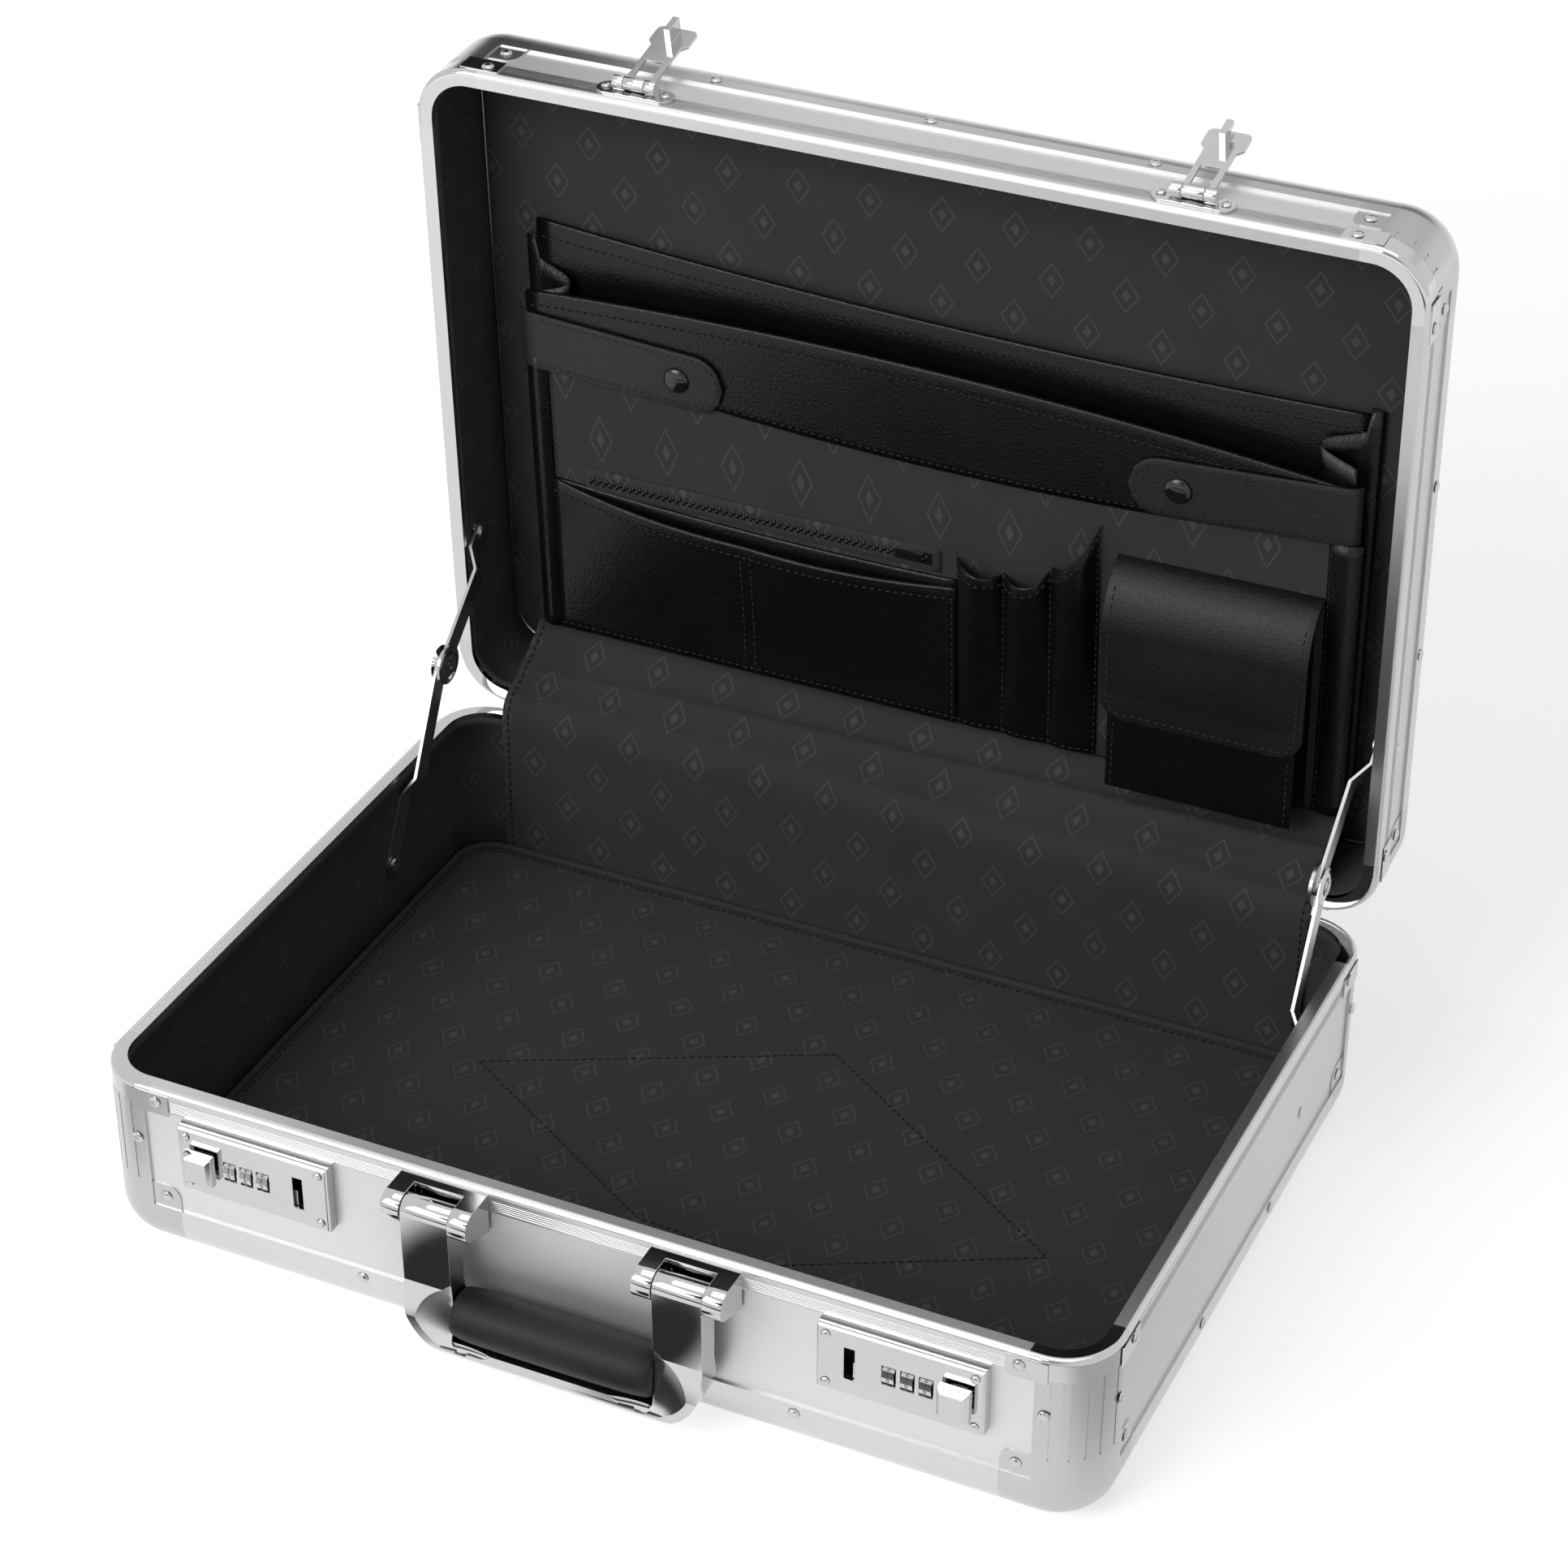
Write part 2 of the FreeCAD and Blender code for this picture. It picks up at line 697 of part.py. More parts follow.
def wall_lining(name, height, level):
    """Cloth on thin card, in one band round the four walls."""
    span = (level, f"{height} - rail_cap")
    outer = slab(name + "_outer", WALL, *span)
    return cut(name, outer, [slab(name + "_inner", LINED, *span)])


def flat_board(name):
    """Outer board of the closed end, rebated so that it lies flush with the rails' flanges."""
    tongue = slab(name + "_tongue", "edge_round", "profile_sheet", WALL)
    across = f"{HALF_X} - post_reach - pad_clearance"
    along = f"{HALF_Y} - post_reach - pad_clearance"
    face = block(name + "_face", (f"-({across})", across), (f"-({along})", along), ("0",
            "profile_sheet"))
    return fuse(name, [tongue, face])


def floor_pad(name, level, inset):
    """Padded board that closes the half inside, on a packing piece above the outer board."""
    raft = slab(name + "_raft", inset, f"{level} - floor_pad_thickness", level)
    packing = slab(name + "_packing", "edge_round", WALL, f"{level} - floor_pad_thickness")
    return fuse(name, [raft, packing])


def shell(prefix, height, front_openings, hinge_notch):
    """Every fixed piece of one half's shell, in its own frame."""
    outer = tray_form(prefix + "_form", "0", height)
    inner = tray_form(prefix + "_form_inner", "profile_sheet", height)
    skin = cut(prefix + "_skin", outer, [inner])
    ring = mouth_ring(prefix + "_ring", height, hinge_notch)
    if prefix == "base":
        flat, pad, level = "bottom_panel", "base_floor_pad", "floor_level"
        pad_inset = f"{LINED} + pad_clearance"
    else:
        flat, pad, level, pad_inset = "lid_top_panel", "lid_top_pad", "lid_pad_level", "lid_pad_inset"
    return {
        flat: flat_board(flat),
        prefix + "_wall_panels": wall_boards(prefix + "_wall_panels", height, front_openings),
        prefix + "_edge_rails": edge_rails(prefix + "_edge_rails", skin),
        prefix + "_corner_posts": corner_posts(prefix + "_corner_posts", skin, height),
        prefix + "_corner_caps": corner_caps(prefix + "_corner_caps", skin),
        prefix + "_mouth_rails": mouth_rails(prefix + "_mouth_rails", ring, height),
        prefix + "_mouth_corners": mouth_corners(prefix + "_mouth_corners", ring, height),
        prefix + "_wall_lining": wall_lining(prefix + "_wall_lining", height, level),
        pad: floor_pad(pad, level, pad_inset),
    }


FRONT = "-case_depth / 2"
PANEL_FACE = f"{FRONT} + profile_sheet"
BOARD_BACK = f"{FRONT} + {WALL}"
LOCK_FRONT = f"{FRONT} - lock_proud"
LOCK_INSIDE = f"{LOCK_FRONT} + lock_sheet"
NOTCH_RADIUS = "knuckle_radius + notch_clearance"


def lock_opening():
    """The opening that each lock's works need through the front board."""
    half_x = "(lock_width / 2 - 2 * lock_sheet)"
    half_z = "(lock_height / 2 - 2 * lock_sheet)"
    right = block("lock_opening", (f"lock_centre - {half_x}", f"lock_centre + {half_x}"),
                  (f"{PANEL_FACE} - 1", f"{BOARD_BACK} + 1"), (f"lock_level - {half_z}",
                          f"lock_level + {half_z}"))
    return [right, mirrored("lock_opening_left", right, Vector(1, 0, 0))]


def hinge_notch(name, height, side):
    """Round notches in the back mouth rail where the hinge knuckles turn."""
    right = rod(name, "X", NOTCH_RADIUS, ("hinge_spacing / 2 - hinge_length / 2 - notch_clearance",
                                          f"{side} * ({HINGE_Y})", height),
                                          "hinge_length + 2 * notch_clearance")
    return group(name + "_pair", [right, mirrored(name + "_left", right, Vector(1, 0, 0))])


for name, item in shell("base", "base_height", lock_opening(), hinge_notch("base_notch",
        "base_height", 1)).items():
    part(name, item)

for name, item in shell("lid", "lid_height", None, hinge_notch("lid_notch", "lid_height", -1)).items():
    item.Placement = OPENING.multiply(TURNED_OVER)
    part(name, item)


# Hinges at the back: leaves riveted to the mouth rails, knuckles on one pin

KNUCKLE_SPANS = [(-0.5, -0.3), (-0.3, -0.1), (-0.1, 0.1), (0.1, 0.3), (0.3, 0.5)]


def hinge_leaf(name, low, high, spans, bore):
    """A leaf against the back with its share of the knuckles, for the right hinge."""
    centre = "hinge_spacing / 2"
    plate = block(name + "_plate", (f"{centre} - hinge_length / 2", f"{centre} + hinge_length / 2"),
                  (HALF_Y, f"{HALF_Y} + hinge_leaf"), (low, high))
    knuckles = []
    spaces = []
    for number, (start, end) in enumerate(KNUCKLE_SPANS):
        place = f"{centre} + {start} * hinge_length + knuckle_gap / 2"
        length = f"{end - start} * hinge_length - knuckle_gap"
        if number in spans:
            knuckles.append(rod(f"{name}_knuckle{number}", "X", "knuckle_radius", (place, HINGE_Y,
                    "base_height"), length))
        else:
            wide = f"{length} + 2 * knuckle_gap"
            spaces.append(rod(f"{name}_space{number}", "X", NOTCH_RADIUS,
                              (f"{place} - knuckle_gap", HINGE_Y, "base_height"), wide))
    leaf = fuse(name + "_solid", [cut(name + "_relieved", plate, spaces)] + knuckles)
    hole = rod(name + "_hole", "X", bore, (f"{centre} - hinge_length", HINGE_Y, "base_height"),
               "2 * hinge_length")
    return both_sides(name, cut(name + "_bored", leaf, [hole]))


part("hinge_base_leaves", hinge_leaf("hinge_base_leaves", "base_height - hinge_leaf_height",
                                     "base_height",
                                     (0, 2, 4), "hinge_pin_radius"))
opened(part("hinge_lid_leaves", hinge_leaf("hinge_lid_leaves", "base_height",
                                           "base_height + hinge_leaf_height",
                                           (1, 3), "hinge_pin_radius + running_clearance")))
part("hinge_pins", both_sides("hinge_pins", rod("hinge_pin", "X", "hinge_pin_radius",
     ("hinge_spacing / 2 - hinge_length / 2", HINGE_Y, "base_height"), "hinge_length")))


# Carrying handle: two clevis brackets, two pins, a cast frame and a padded grip

PIVOT_Y = f"{FRONT} - handle_pivot_out"
PIVOT_Z = "bracket_top - ear_radius"
BRACKET_X = "bracket_spacing / 2"


def handle_bracket():
    """Clevis with rounded ears; the handle's barrel turns in the window between them."""
    ear_front = f"{PIVOT_Y} - ear_radius"
    outline = [(FRONT, "bracket_foot"), (FRONT, "bracket_top"), (ear_front, "bracket_top"),
               (ear_front, f"{PIVOT_Z} - ear_radius"), (PIVOT_Y, f"{PIVOT_Z} - ear_radius")]
    sides = (f"{BRACKET_X} - bracket_width / 2", f"{BRACKET_X} + bracket_width / 2")
    body = profile("bracket_body", "YZ_Plane", outline, *sides, {2: "ear_radius - 0.1",
            3: "ear_radius - 0.1"})
    window = block("bracket_window", (f"{BRACKET_X} - ear_gap / 2", f"{BRACKET_X} + ear_gap / 2"),
                   (f"{ear_front} - 1", f"{FRONT} - bracket_back"), ("bracket_foot - 1",
                           "bracket_top + 1"))
    hole = rod("bracket_hole", "X", "handle_pin_radius", (f"{BRACKET_X} - bracket_width", PIVOT_Y,
                                                          PIVOT_Z),
               "2 * bracket_width")
    return cut("bracket", cut("bracket_forked", body, [window]), [hole])


def handle_frame():
    """Cast U-shaped frame: its front outline crossed with its side outline, scooped at the arms."""
    outer = f"{BRACKET_X} + handle_barrel_width / 2"
    inner = f"{BRACKET_X} - handle_barrel_width / 2"
    top = f"{PIVOT_Z} + handle_barrel_radius"
    foot = f"{PIVOT_Z} - handle_drop"
    bar = f"{foot} + handle_bar"
    front = profile("handle_front", "XZ_Plane",
                    [(f"-({outer})", top), (f"-({outer})", foot), (outer, foot), (outer, top),
                     (inner, top), (inner, bar), (f"-({inner})", bar), (f"-({inner})", top)],
                    f"{PIVOT_Y} - handle_bar_depth", f"{PIVOT_Y} + handle_bar_depth",
                    {1: "handle_corner", 2: "handle_corner"})
    waist = f"{PIVOT_Z} - handle_drop / 2"
    knee = f"{bar} + handle_bar"
    reach = {"top": "handle_barrel_radius", "waist": "handle_arm_depth / 2",
             "foot": "handle_bar_depth / 2"}
    side = [(f"{PIVOT_Y} - {reach['top']}", top), (f"{PIVOT_Y} - {reach['waist']}", waist),
            (f"{PIVOT_Y} - {reach['foot']}", knee), (f"{PIVOT_Y} - {reach['foot']}", foot),
            (f"{PIVOT_Y} + {reach['foot']}", foot), (f"{PIVOT_Y} + {reach['foot']}", knee),
            (f"{PIVOT_Y} + {reach['waist']}", waist), (f"{PIVOT_Y} + {reach['top']}", top)]
    round_foot = "handle_bar_depth / 3"
    across = profile("handle_side", "YZ_Plane", side, f"-({outer}) - 1", f"{outer} + 1",
                     {0: "handle_barrel_radius - 0.2", 7: "handle_barrel_radius - 0.2", 3: round_foot,
                      4: round_foot})
    cast = common("handle_cast", front, across)
    hole = rod("handle_bore", "X", "handle_pin_radius + running_clearance", (f"-({outer}) - 1",
            PIVOT_Y, PIVOT_Z),
               f"2 * ({outer}) + 2")
    dish = doc.addObject("Part::Sphere", "handle_dish")
    front_face = f"{PIVOT_Y} - handle_bar_depth / 2"
    mouth = "handle_corner - handle_rim"
    bind(dish, Radius="handle_dish_radius", Placement__Base__x=f"{outer} - handle_corner",
         Placement__Base__y=f"{front_face} - sqrt(handle_dish_radius ^ 2 - ({mouth}) ^ 2)",
         Placement__Base__z=f"{foot} + handle_corner")
    scoops = [dish, mirrored("handle_dish_left", dish, Vector(1, 0, 0))]
    return cut("handle_frame", cut("handle_bored", cast, [hole]), scoops)


def handle_grip():
    """Padded half-round roll that lies in the frame, above its bar."""
    low = f"{PIVOT_Z} - handle_drop + handle_bar + grip_seat"
    high = f"{low} + grip_height"
    half = "grip_depth / 2"
    outline = [(f"{PIVOT_Y} - {half}", low), (f"{PIVOT_Y} + {half}", low),
               (f"{PIVOT_Y} + {half}", high), (f"{PIVOT_Y} - {half}", high)]
    length = f"{BRACKET_X} - handle_barrel_width / 2 - grip_seat"
    ends = (f"-({length})", length)
    roll = "grip_depth / 2 - 0.5"
    return profile("handle_grip", "YZ_Plane", outline, *ends, {0: "grip_depth / 6",
            1: "grip_depth / 6", 2: roll, 3: roll})


part("handle_brackets", both_sides("handle_brackets", handle_bracket()))
part("handle_pins", both_sides("handle_pins", rod("handle_pin", "X", "handle_pin_radius",
     (f"{BRACKET_X} - bracket_width / 2", PIVOT_Y, PIVOT_Z), "bracket_width")))
part("handle_frame", handle_frame())
part("handle_grip", handle_grip())


# Combination locks: plate, works behind it, three dials, sliding button with its bolt and spring

DIAL_Y = f"{LOCK_FRONT} - dial_proud + dial_radius"
CASE_BACK = f"{DIAL_Y} + dial_radius + dial_window_gap"
BOLT_LOW = "lock_level - lock_case_height / 2 - bolt_height - dial_window_gap"
BOLT_FACE = f"{LOCK_INSIDE} + dial_window_gap"
RISER = "(button_stem / 2 + bolt_sheet / 2)"


def lock_plate():
    """Bevelled cover with the hasp slot, three dial windows and the slot for the button's stem."""
    half_x = "lock_width / 2"
    half_z = "lock_height / 2"
    left, right = f"lock_centre - {half_x}", f"lock_centre + {half_x}"
    low, high = f"lock_level - {half_z}", f"lock_level + {half_z}"
    body = profile("lock_plate_body", "XZ_Plane", [(left, low), (right, low), (right, high), (left,
            high)],
                   LOCK_FRONT, PANEL_FACE)
    front = [f"Edge{n}" for n, edge in enumerate(body.Tip.Shape.Edges, 1)
             if abs(edge.BoundBox.YMin - value(LOCK_FRONT)) < 1e-4 and edge.BoundBox.YLength < 1e-4]
    rounded_edges(body, body.Tip, front, "lock_bevel", "Chamfer")
    hollow = block("lock_hollow", (f"{left} + lock_sheet", f"{right} - lock_sheet"), (LOCK_INSIDE,
            f"{PANEL_FACE} + 1"),
                   (f"{low} + lock_sheet", f"{high} - lock_sheet"))
    through = (f"{LOCK_FRONT} - 1", f"{LOCK_INSIDE} + 1")
    slot = block("lock_slot", ("slot_place - slot_width / 2", "slot_place + slot_width / 2"), through,
                 ("lock_level - slot_height / 2", "lock_level + slot_height / 2"))
    window_x = "(dial_width / 2 + dial_window_gap)"
    window_z = "(dial_radius - dial_window_gap / 2)"
    windows = [block(f"dial_window{n}", (f"dial_place + {n - 1} * dial_pitch - {window_x}",
                                         f"dial_place + {n - 1} * dial_pitch + {window_x}"), through,
                     (f"lock_level - {window_z}", f"lock_level + {window_z}")) for n in range(3)]
    gap = "dial_window_gap"
    stem = block("stem_slot", (f"button_place - button_stem / 2 - {gap}",
                               f"button_place + button_stem / 2 + button_travel + {gap}"), through,
                 (f"lock_level - button_stem / 2 - {gap}", f"lock_level + button_stem / 2 + {gap}"))
    return cut("lock_plate", cut("lock_shell", body, [hollow]), [slot, stem] + windows)


def lock_case():
    """Folded bracket behind the dials that carries their axle."""
    cheek = "(1.5 * dial_pitch + dial_window_gap)"
    left, right = f"dial_place - {cheek}", f"dial_place + {cheek}"
    span = ("lock_level - lock_case_height / 2", "lock_level + lock_case_height / 2")
    back = block("lock_case_back", (f"{left} - lock_case_sheet", f"{right} + lock_case_sheet"),
                 (CASE_BACK, f"{CASE_BACK} + lock_case_sheet"), span)
    cheeks = [block("lock_cheek_inner", (f"{left} - lock_case_sheet", left), (LOCK_INSIDE, CASE_BACK),
                    span),
              block("lock_cheek_outer", (right, f"{right} + lock_case_sheet"), (LOCK_INSIDE,
                      CASE_BACK), span)]
    axle = rod("dial_axle", "X", "dial_axle_radius", (left, DIAL_Y, "lock_level"),
               f"{right} - ({left})")
    return fuse("lock_case", [back, axle] + cheeks)


def dial(name, number):
    """Ten-sided number wheel with a bore for the axle."""
    wheel = doc.addObject("Part::Prism", name + "_wheel")
    wheel.Polygon = 10
    wheel.Placement = Placement(Vector(), Rotation(Vector(0, 1, 0), 90).multiply(Rotation(Vector(0, 0,
            1), 18)))
    bind(wheel, Circumradius="dial_radius", Height="dial_width")
    start = (f"dial_place + {number - 1} * dial_pitch - dial_width / 2", DIAL_Y, "lock_level")
    bind(wheel, Placement__Base__x=start[0], Placement__Base__y=start[1], Placement__Base__z=start[2])
    bore = rod(name + "_bore", "X", "dial_axle_radius + running_clearance",
               (f"{start[0]} - 1", DIAL_Y, "lock_level"), "dial_width + 2")
    return cut(name, wheel, [bore])


def lock_button():
    """Square pillow knob on a stem that passes through the plate."""
    half_x = "button_width / 2"
    half_z = "button_height / 2"
    left, right = f"button_place - {half_x}", f"button_place + {half_x}"
    low, high = f"lock_level - {half_z}", f"lock_level + {half_z}"
    knob = profile("button_knob", "XZ_Plane", [(left, low), (right, low), (right, high), (left, high)],
                   f"{LOCK_FRONT} - button_proud", f"{LOCK_FRONT} - button_gap")
    face = [f"Edge{n}" for n, edge in enumerate(knob.Tip.Shape.Edges, 1)
            if edge.BoundBox.YMax < value(f"{LOCK_FRONT} - button_proud") + 1e-4]
    rounded_edges(knob, knob.Tip, face, "button_bevel", "Chamfer")
    half = "button_stem / 2"
    stem = block("button_stem_block", (f"button_place - {half}", f"button_place + {half}"),
                 (f"{LOCK_FRONT} - button_gap", BOLT_FACE), (f"lock_level - {half}",
                         f"lock_level + {half}"))
    return fuse("lock_button", [knob, stem])


def latch_bolt():
    """Flat bolt that runs under the dials from the button to the hasp slot."""
    sheet_y = (BOLT_FACE, f"{BOLT_FACE} + bolt_sheet")
    outer = f"button_place + {RISER}"
    inner = "slot_place + slot_width / 2 - bolt_catch"
    bar = block("bolt_bar", (inner, outer), sheet_y, (BOLT_LOW, f"{BOLT_LOW} + bolt_height"))
    riser = block("bolt_riser", (f"button_place - {RISER}", outer), sheet_y, (BOLT_LOW,
            "lock_level + button_stem / 2"))
    finger = block("bolt_finger", (inner, f"{inner} + bolt_height"), sheet_y, (BOLT_LOW, "lock_level"))
    return fuse("latch_bolt", [bar, riser, finger])


def lock_spring():
    """Folded leaf spring between the bolt and the end of the plate."""
    start = f"button_place + {RISER}"
    end = "lock_centre + lock_width / 2 - lock_sheet"
    step = f"(({end}) - ({start})) / 4"
    low, high = "lock_level - button_stem / 2", "lock_level + button_stem / 2"
    upper = []
    lower = []
    for number in range(5):
        level = low if number % 2 else high
        upper.append((f"{start} + {number} * {step}", level))
        lower.append((f"{start} + {number} * {step}", f"{level} - 2 * spring_sheet"))
    return profile("lock_spring", "XZ_Plane", upper + lower[::-1], BOLT_FACE,
                   f"{BOLT_FACE} + bolt_sheet")


part("lock_plates", both_sides("lock_plates", lock_plate()))
part("lock_cases", both_sides("lock_cases", lock_case()))
for side, name in ((1, "right"), (-1, "left")):
    for number in range(3):
        wheel = dial(f"dial_{name}_{number + 1}_wheel", number)
        part(f"dial_{name}_{number + 1}", wheel if side > 0 else mirrored(wheel.Name + "_m", wheel,
                Vector(1, 0, 0)))
for name, piece in (("lock_button", lock_button()), ("latch_bolt", latch_bolt()), ("lock_spring",
        lock_spring())):
    part(name + "_right", piece)
    part(name + "_left", mirrored(name + "_left", piece, Vector(1, 0, 0)))


# Hasps on the front of the lid: riveted plate with knuckles and pin, and the swinging arm

HASP_Y = f"{FRONT} - hasp_axis_out"
HASP_Z = "base_height + hasp_depth"
ARM_BACK = f"{LOCK_FRONT} - hasp_arm_gap"
ARM_FACE = f"{ARM_BACK} - hasp_arm_sheet"


def hasp_base():
    """Plate with rounded ends, two outer knuckles and the pin staked through them."""
    half = "hasp_plate_length / 2"
    low = f"{HASP_Z} - hasp_plate_height / 2"
    high = f"{HASP_Z} + hasp_plate_height / 2"
    left, right = f"slot_place - {half}", f"slot_place + {half}"
    plate = profile("hasp_plate_body", "XZ_Plane", [(left, low), (right, low), (right, high), (left,
            high)],
                    f"{FRONT} - hasp_plate", FRONT,
                    {i: "hasp_plate_height / 2 - 0.2" for i in range(4)})
    pieces = [plate]
    knuckle = "(hasp_barrel_length - hasp_arm_knuckle) / 2 - knuckle_gap"
    for number, start in enumerate(("slot_place - hasp_barrel_length / 2",
                                    "slot_place + hasp_arm_knuckle / 2 + knuckle_gap")):
        pieces.append(rod(f"hasp_knuckle{number}", "X", "hasp_knuckle_radius", (start, HASP_Y,
                HASP_Z), knuckle))
        pieces.append(block(f"hasp_web{number}", (start, f"{start} + {knuckle}"), (HASP_Y,
                f"{FRONT} - hasp_plate"),
                            (f"{HASP_Z} - hasp_pin_radius", f"{HASP_Z} + hasp_pin_radius")))
    pieces.append(rod("hasp_pin", "X", "hasp_pin_radius", ("slot_place - hasp_barrel_length / 2",
                                                           HASP_Y, HASP_Z),
                      "hasp_barrel_length"))
    return fuse("hasp_base", pieces)


def hasp_arm():
    """Arm drawn latched: barrel, framed neck, finger plate and the prong that enters the lock."""
    half = "hasp_arm_width / 2"
    finger = "hasp_finger_width / 2"
    end = f"{HASP_Z} - hasp_arm_end"
    shoulder = f"{HASP_Z} - hasp_finger_start"
    outline = [(f"slot_place - {half}", f"{HASP_Z} - hasp_pin_radius"), (f"slot_place - {half}",
            shoulder),
               (f"slot_place - {finger}", f"{shoulder} - 3"), (f"slot_place - {finger}", end),
               (f"slot_place + {finger}", end), (f"slot_place + {finger}", f"{shoulder} - 3"),
               (f"slot_place + {half}", shoulder), (f"slot_place + {half}",
                                                    f"{HASP_Z} - hasp_pin_radius")]
    sheet_y = (ARM_FACE, ARM_BACK)
    plate = profile("hasp_arm_plate", "XZ_Plane", outline, *sheet_y, {3: "3", 4: "3"})
    window = block("hasp_window", ("slot_place - hasp_window_width / 2",
                                   "slot_place + hasp_window_width / 2"),
                   (f"{ARM_FACE} - 1", f"{ARM_BACK} + 1"),
                   (f"{HASP_Z} - hasp_window_end", f"{HASP_Z} - hasp_window_start"))
    barrel_start = "slot_place - hasp_arm_knuckle / 2"
    clear = "hasp_knuckle_radius + notch_clearance"
    relief = [rod(f"hasp_relief{n}", "X", clear, (start, HASP_Y, HASP_Z), "hasp_barrel_length")
              for n, start in enumerate((f"{barrel_start} - hasp_barrel_length",
                                         f"{barrel_start} + hasp_arm_knuckle"))]
    barrel = rod("hasp_barrel", "X", "hasp_knuckle_radius", (barrel_start, HASP_Y, HASP_Z),
                 "hasp_arm_knuckle")
    prong = "hasp_prong_width / 2"
    tooth = block("hasp_prong", (f"slot_place - {prong}", f"slot_place + {prong}"),
                  (ARM_BACK, f"{ARM_BACK} + hasp_prong_length"),
                  ("lock_level - hasp_prong_height / 2", "lock_level + hasp_prong_height / 2"))
    notch = block("hasp_notch", (f"slot_place + slot_width / 2 - bolt_catch - 2 * dial_window_gap",
                                 "slot_place + slot_width"),
                  (f"{BOLT_FACE} - 2 * dial_window_gap",
                   f"{BOLT_FACE} + bolt_sheet + 2 * dial_window_gap"),
                  ("lock_level - hasp_prong_height", "lock_level + dial_window_gap"))
    framed = cut("hasp_arm_framed", plate, [window] + relief)
    arm = fuse("hasp_arm_solid", [framed, barrel, cut("hasp_tooth", tooth, [notch])])
    bore = rod("hasp_bore", "X", "hasp_pin_radius + running_clearance",
               ("slot_place - hasp_barrel_length", HASP_Y, HASP_Z), "2 * hasp_barrel_length")
    return cut("hasp_arm", arm, [bore])


opened(part("hasp_bases", both_sides("hasp_bases", hasp_base())))
HASP_POINT = Vector(0, value(HASP_Y), value(HASP_Z))
HASP_SWING = Placement(Vector(), Rotation(Vector(1, 0, 0), -value("hasp_open_angle")), HASP_POINT)
arm = part("hasp_arm_right", hasp_arm())
arm.Placement = OPENING.multiply(HASP_SWING)
part("hasp_arm_left", mirrored("hasp_arm_mirror", arm, Vector(1, 0, 0)))


# Lid stays: on each side two flat links that fold at a disc joint

STAY_WALL = f"{HALF_X} - ({LINED}) - stay_wall_gap"
BASE_PIVOT = Vector(0, value("stay_pivot_y"), value("stay_base_z"))
LID_PIVOT = OPENING.multVec(Vector(0, value("stay_pivot_y"), value("base_height + stay_lid_depth")))


def stay_joint():
    """Where the two links meet on the open case: forward of the straight line between their ends."""
    lower = value("stay_lower_length")
    upper = value("stay_upper_length")
    line = LID_PIVOT - BASE_PIVOT
    along = (lower ** 2 - upper ** 2 + line.Length ** 2) / (2 * line.Length)
    aside = math.sqrt(max(lower ** 2 - along ** 2, 0.0))
    unit = Vector(line)
    unit.normalize()
    return BASE_PIVOT + unit * along + Vector(0, -unit.z, unit.y) * aside


def link_placement(start, end):
    """Frame of a link: its length along local x, the case's X along local y."""
    run = end - start
    run.normalize()
    return Placement(start, Rotation(run, Vector(1, 0, 0), Vector(0, run.z, -run.y), "XYZ"))


def joggled_link(name, length, bend, wall_end_first, outer, inner):
    """A strip with rounded ends whose wall end is set outwards by a double bend."""
    tip = "stay_width / 2"
    if wall_end_first:
        stations = [(f"-{tip}", outer), (bend, outer), (f"{bend} + stay_bend_run", inner),
                    (f"{length} + {tip}", inner)]
    else:
        start = f"{length} - {bend}"
        stations = [(f"-{tip}", inner), (f"{start} - stay_bend_run", inner), (start, outer),
                    (f"{length} + {tip}", outer)]
    outline = stations + [(place, f"{level} - stay_sheet") for place, level in reversed(stations)]
    strip = profile(name + "_strip", "XY_Plane", outline, f"-{tip}", tip)
    corners = [f"Edge{n}" for n, edge in enumerate(strip.Tip.Shape.Edges, 1)
               if edge.BoundBox.XLength < 1e-4 and edge.BoundBox.ZLength < 1e-4]
    rounded_edges(strip, strip.Tip, corners, f"{tip} - 0.1")
    return strip


def stay_lower():
    main = f"{STAY_WALL} - stay_offset"
    strip = joggled_link("stay_lower", "stay_lower_length", "stay_lower_bend", True, STAY_WALL, main)
    holes = [rod(f"stay_lower_hole{n}", "Y", "stay_pin_radius + running_clearance",
                 (place, f"{main} - 10", "0"), "20") for n, place in enumerate(("0",
                         "stay_lower_length"))]
    return cut("stay_lower", strip, holes)


def stay_upper():
    """Upper link with the round joint cap and its rivet, and a rivet head at the lid end."""
    lower_face = f"{STAY_WALL} - stay_offset - stay_sheet"
    main = f"{lower_face} - stay_wall_gap"
    wall = f"{STAY_WALL} - 1 - stay_wall_gap"
    strip = joggled_link("stay_upper", "stay_upper_length", "stay_upper_bend", False, wall, main)
    inside = f"{main} - stay_sheet"
    cap = rod("stay_cap", "Y", "stay_disc_radius", ("0", f"{inside} - stay_sheet", "0"), "stay_sheet")
    shank = rod("stay_shank", "Y", "stay_pin_radius", ("0", f"{inside} - stay_sheet", "0"),
                "4 * stay_sheet + 2 * stay_wall_gap")
    head = rod("stay_head", "Y", "1.6 * stay_pin_radius", ("0",
                                                           f"{lower_face} + stay_sheet + stay_wall_gap", "0"),
               "stay_sheet - stay_wall_gap")
    end_head = rod("stay_end_head", "Y", "1.6 * stay_pin_radius",
                   ("stay_upper_length", f"{wall} - 2 * stay_sheet", "0"), "stay_sheet")
    return fuse("stay_upper", [strip, cap, shank, head, end_head])


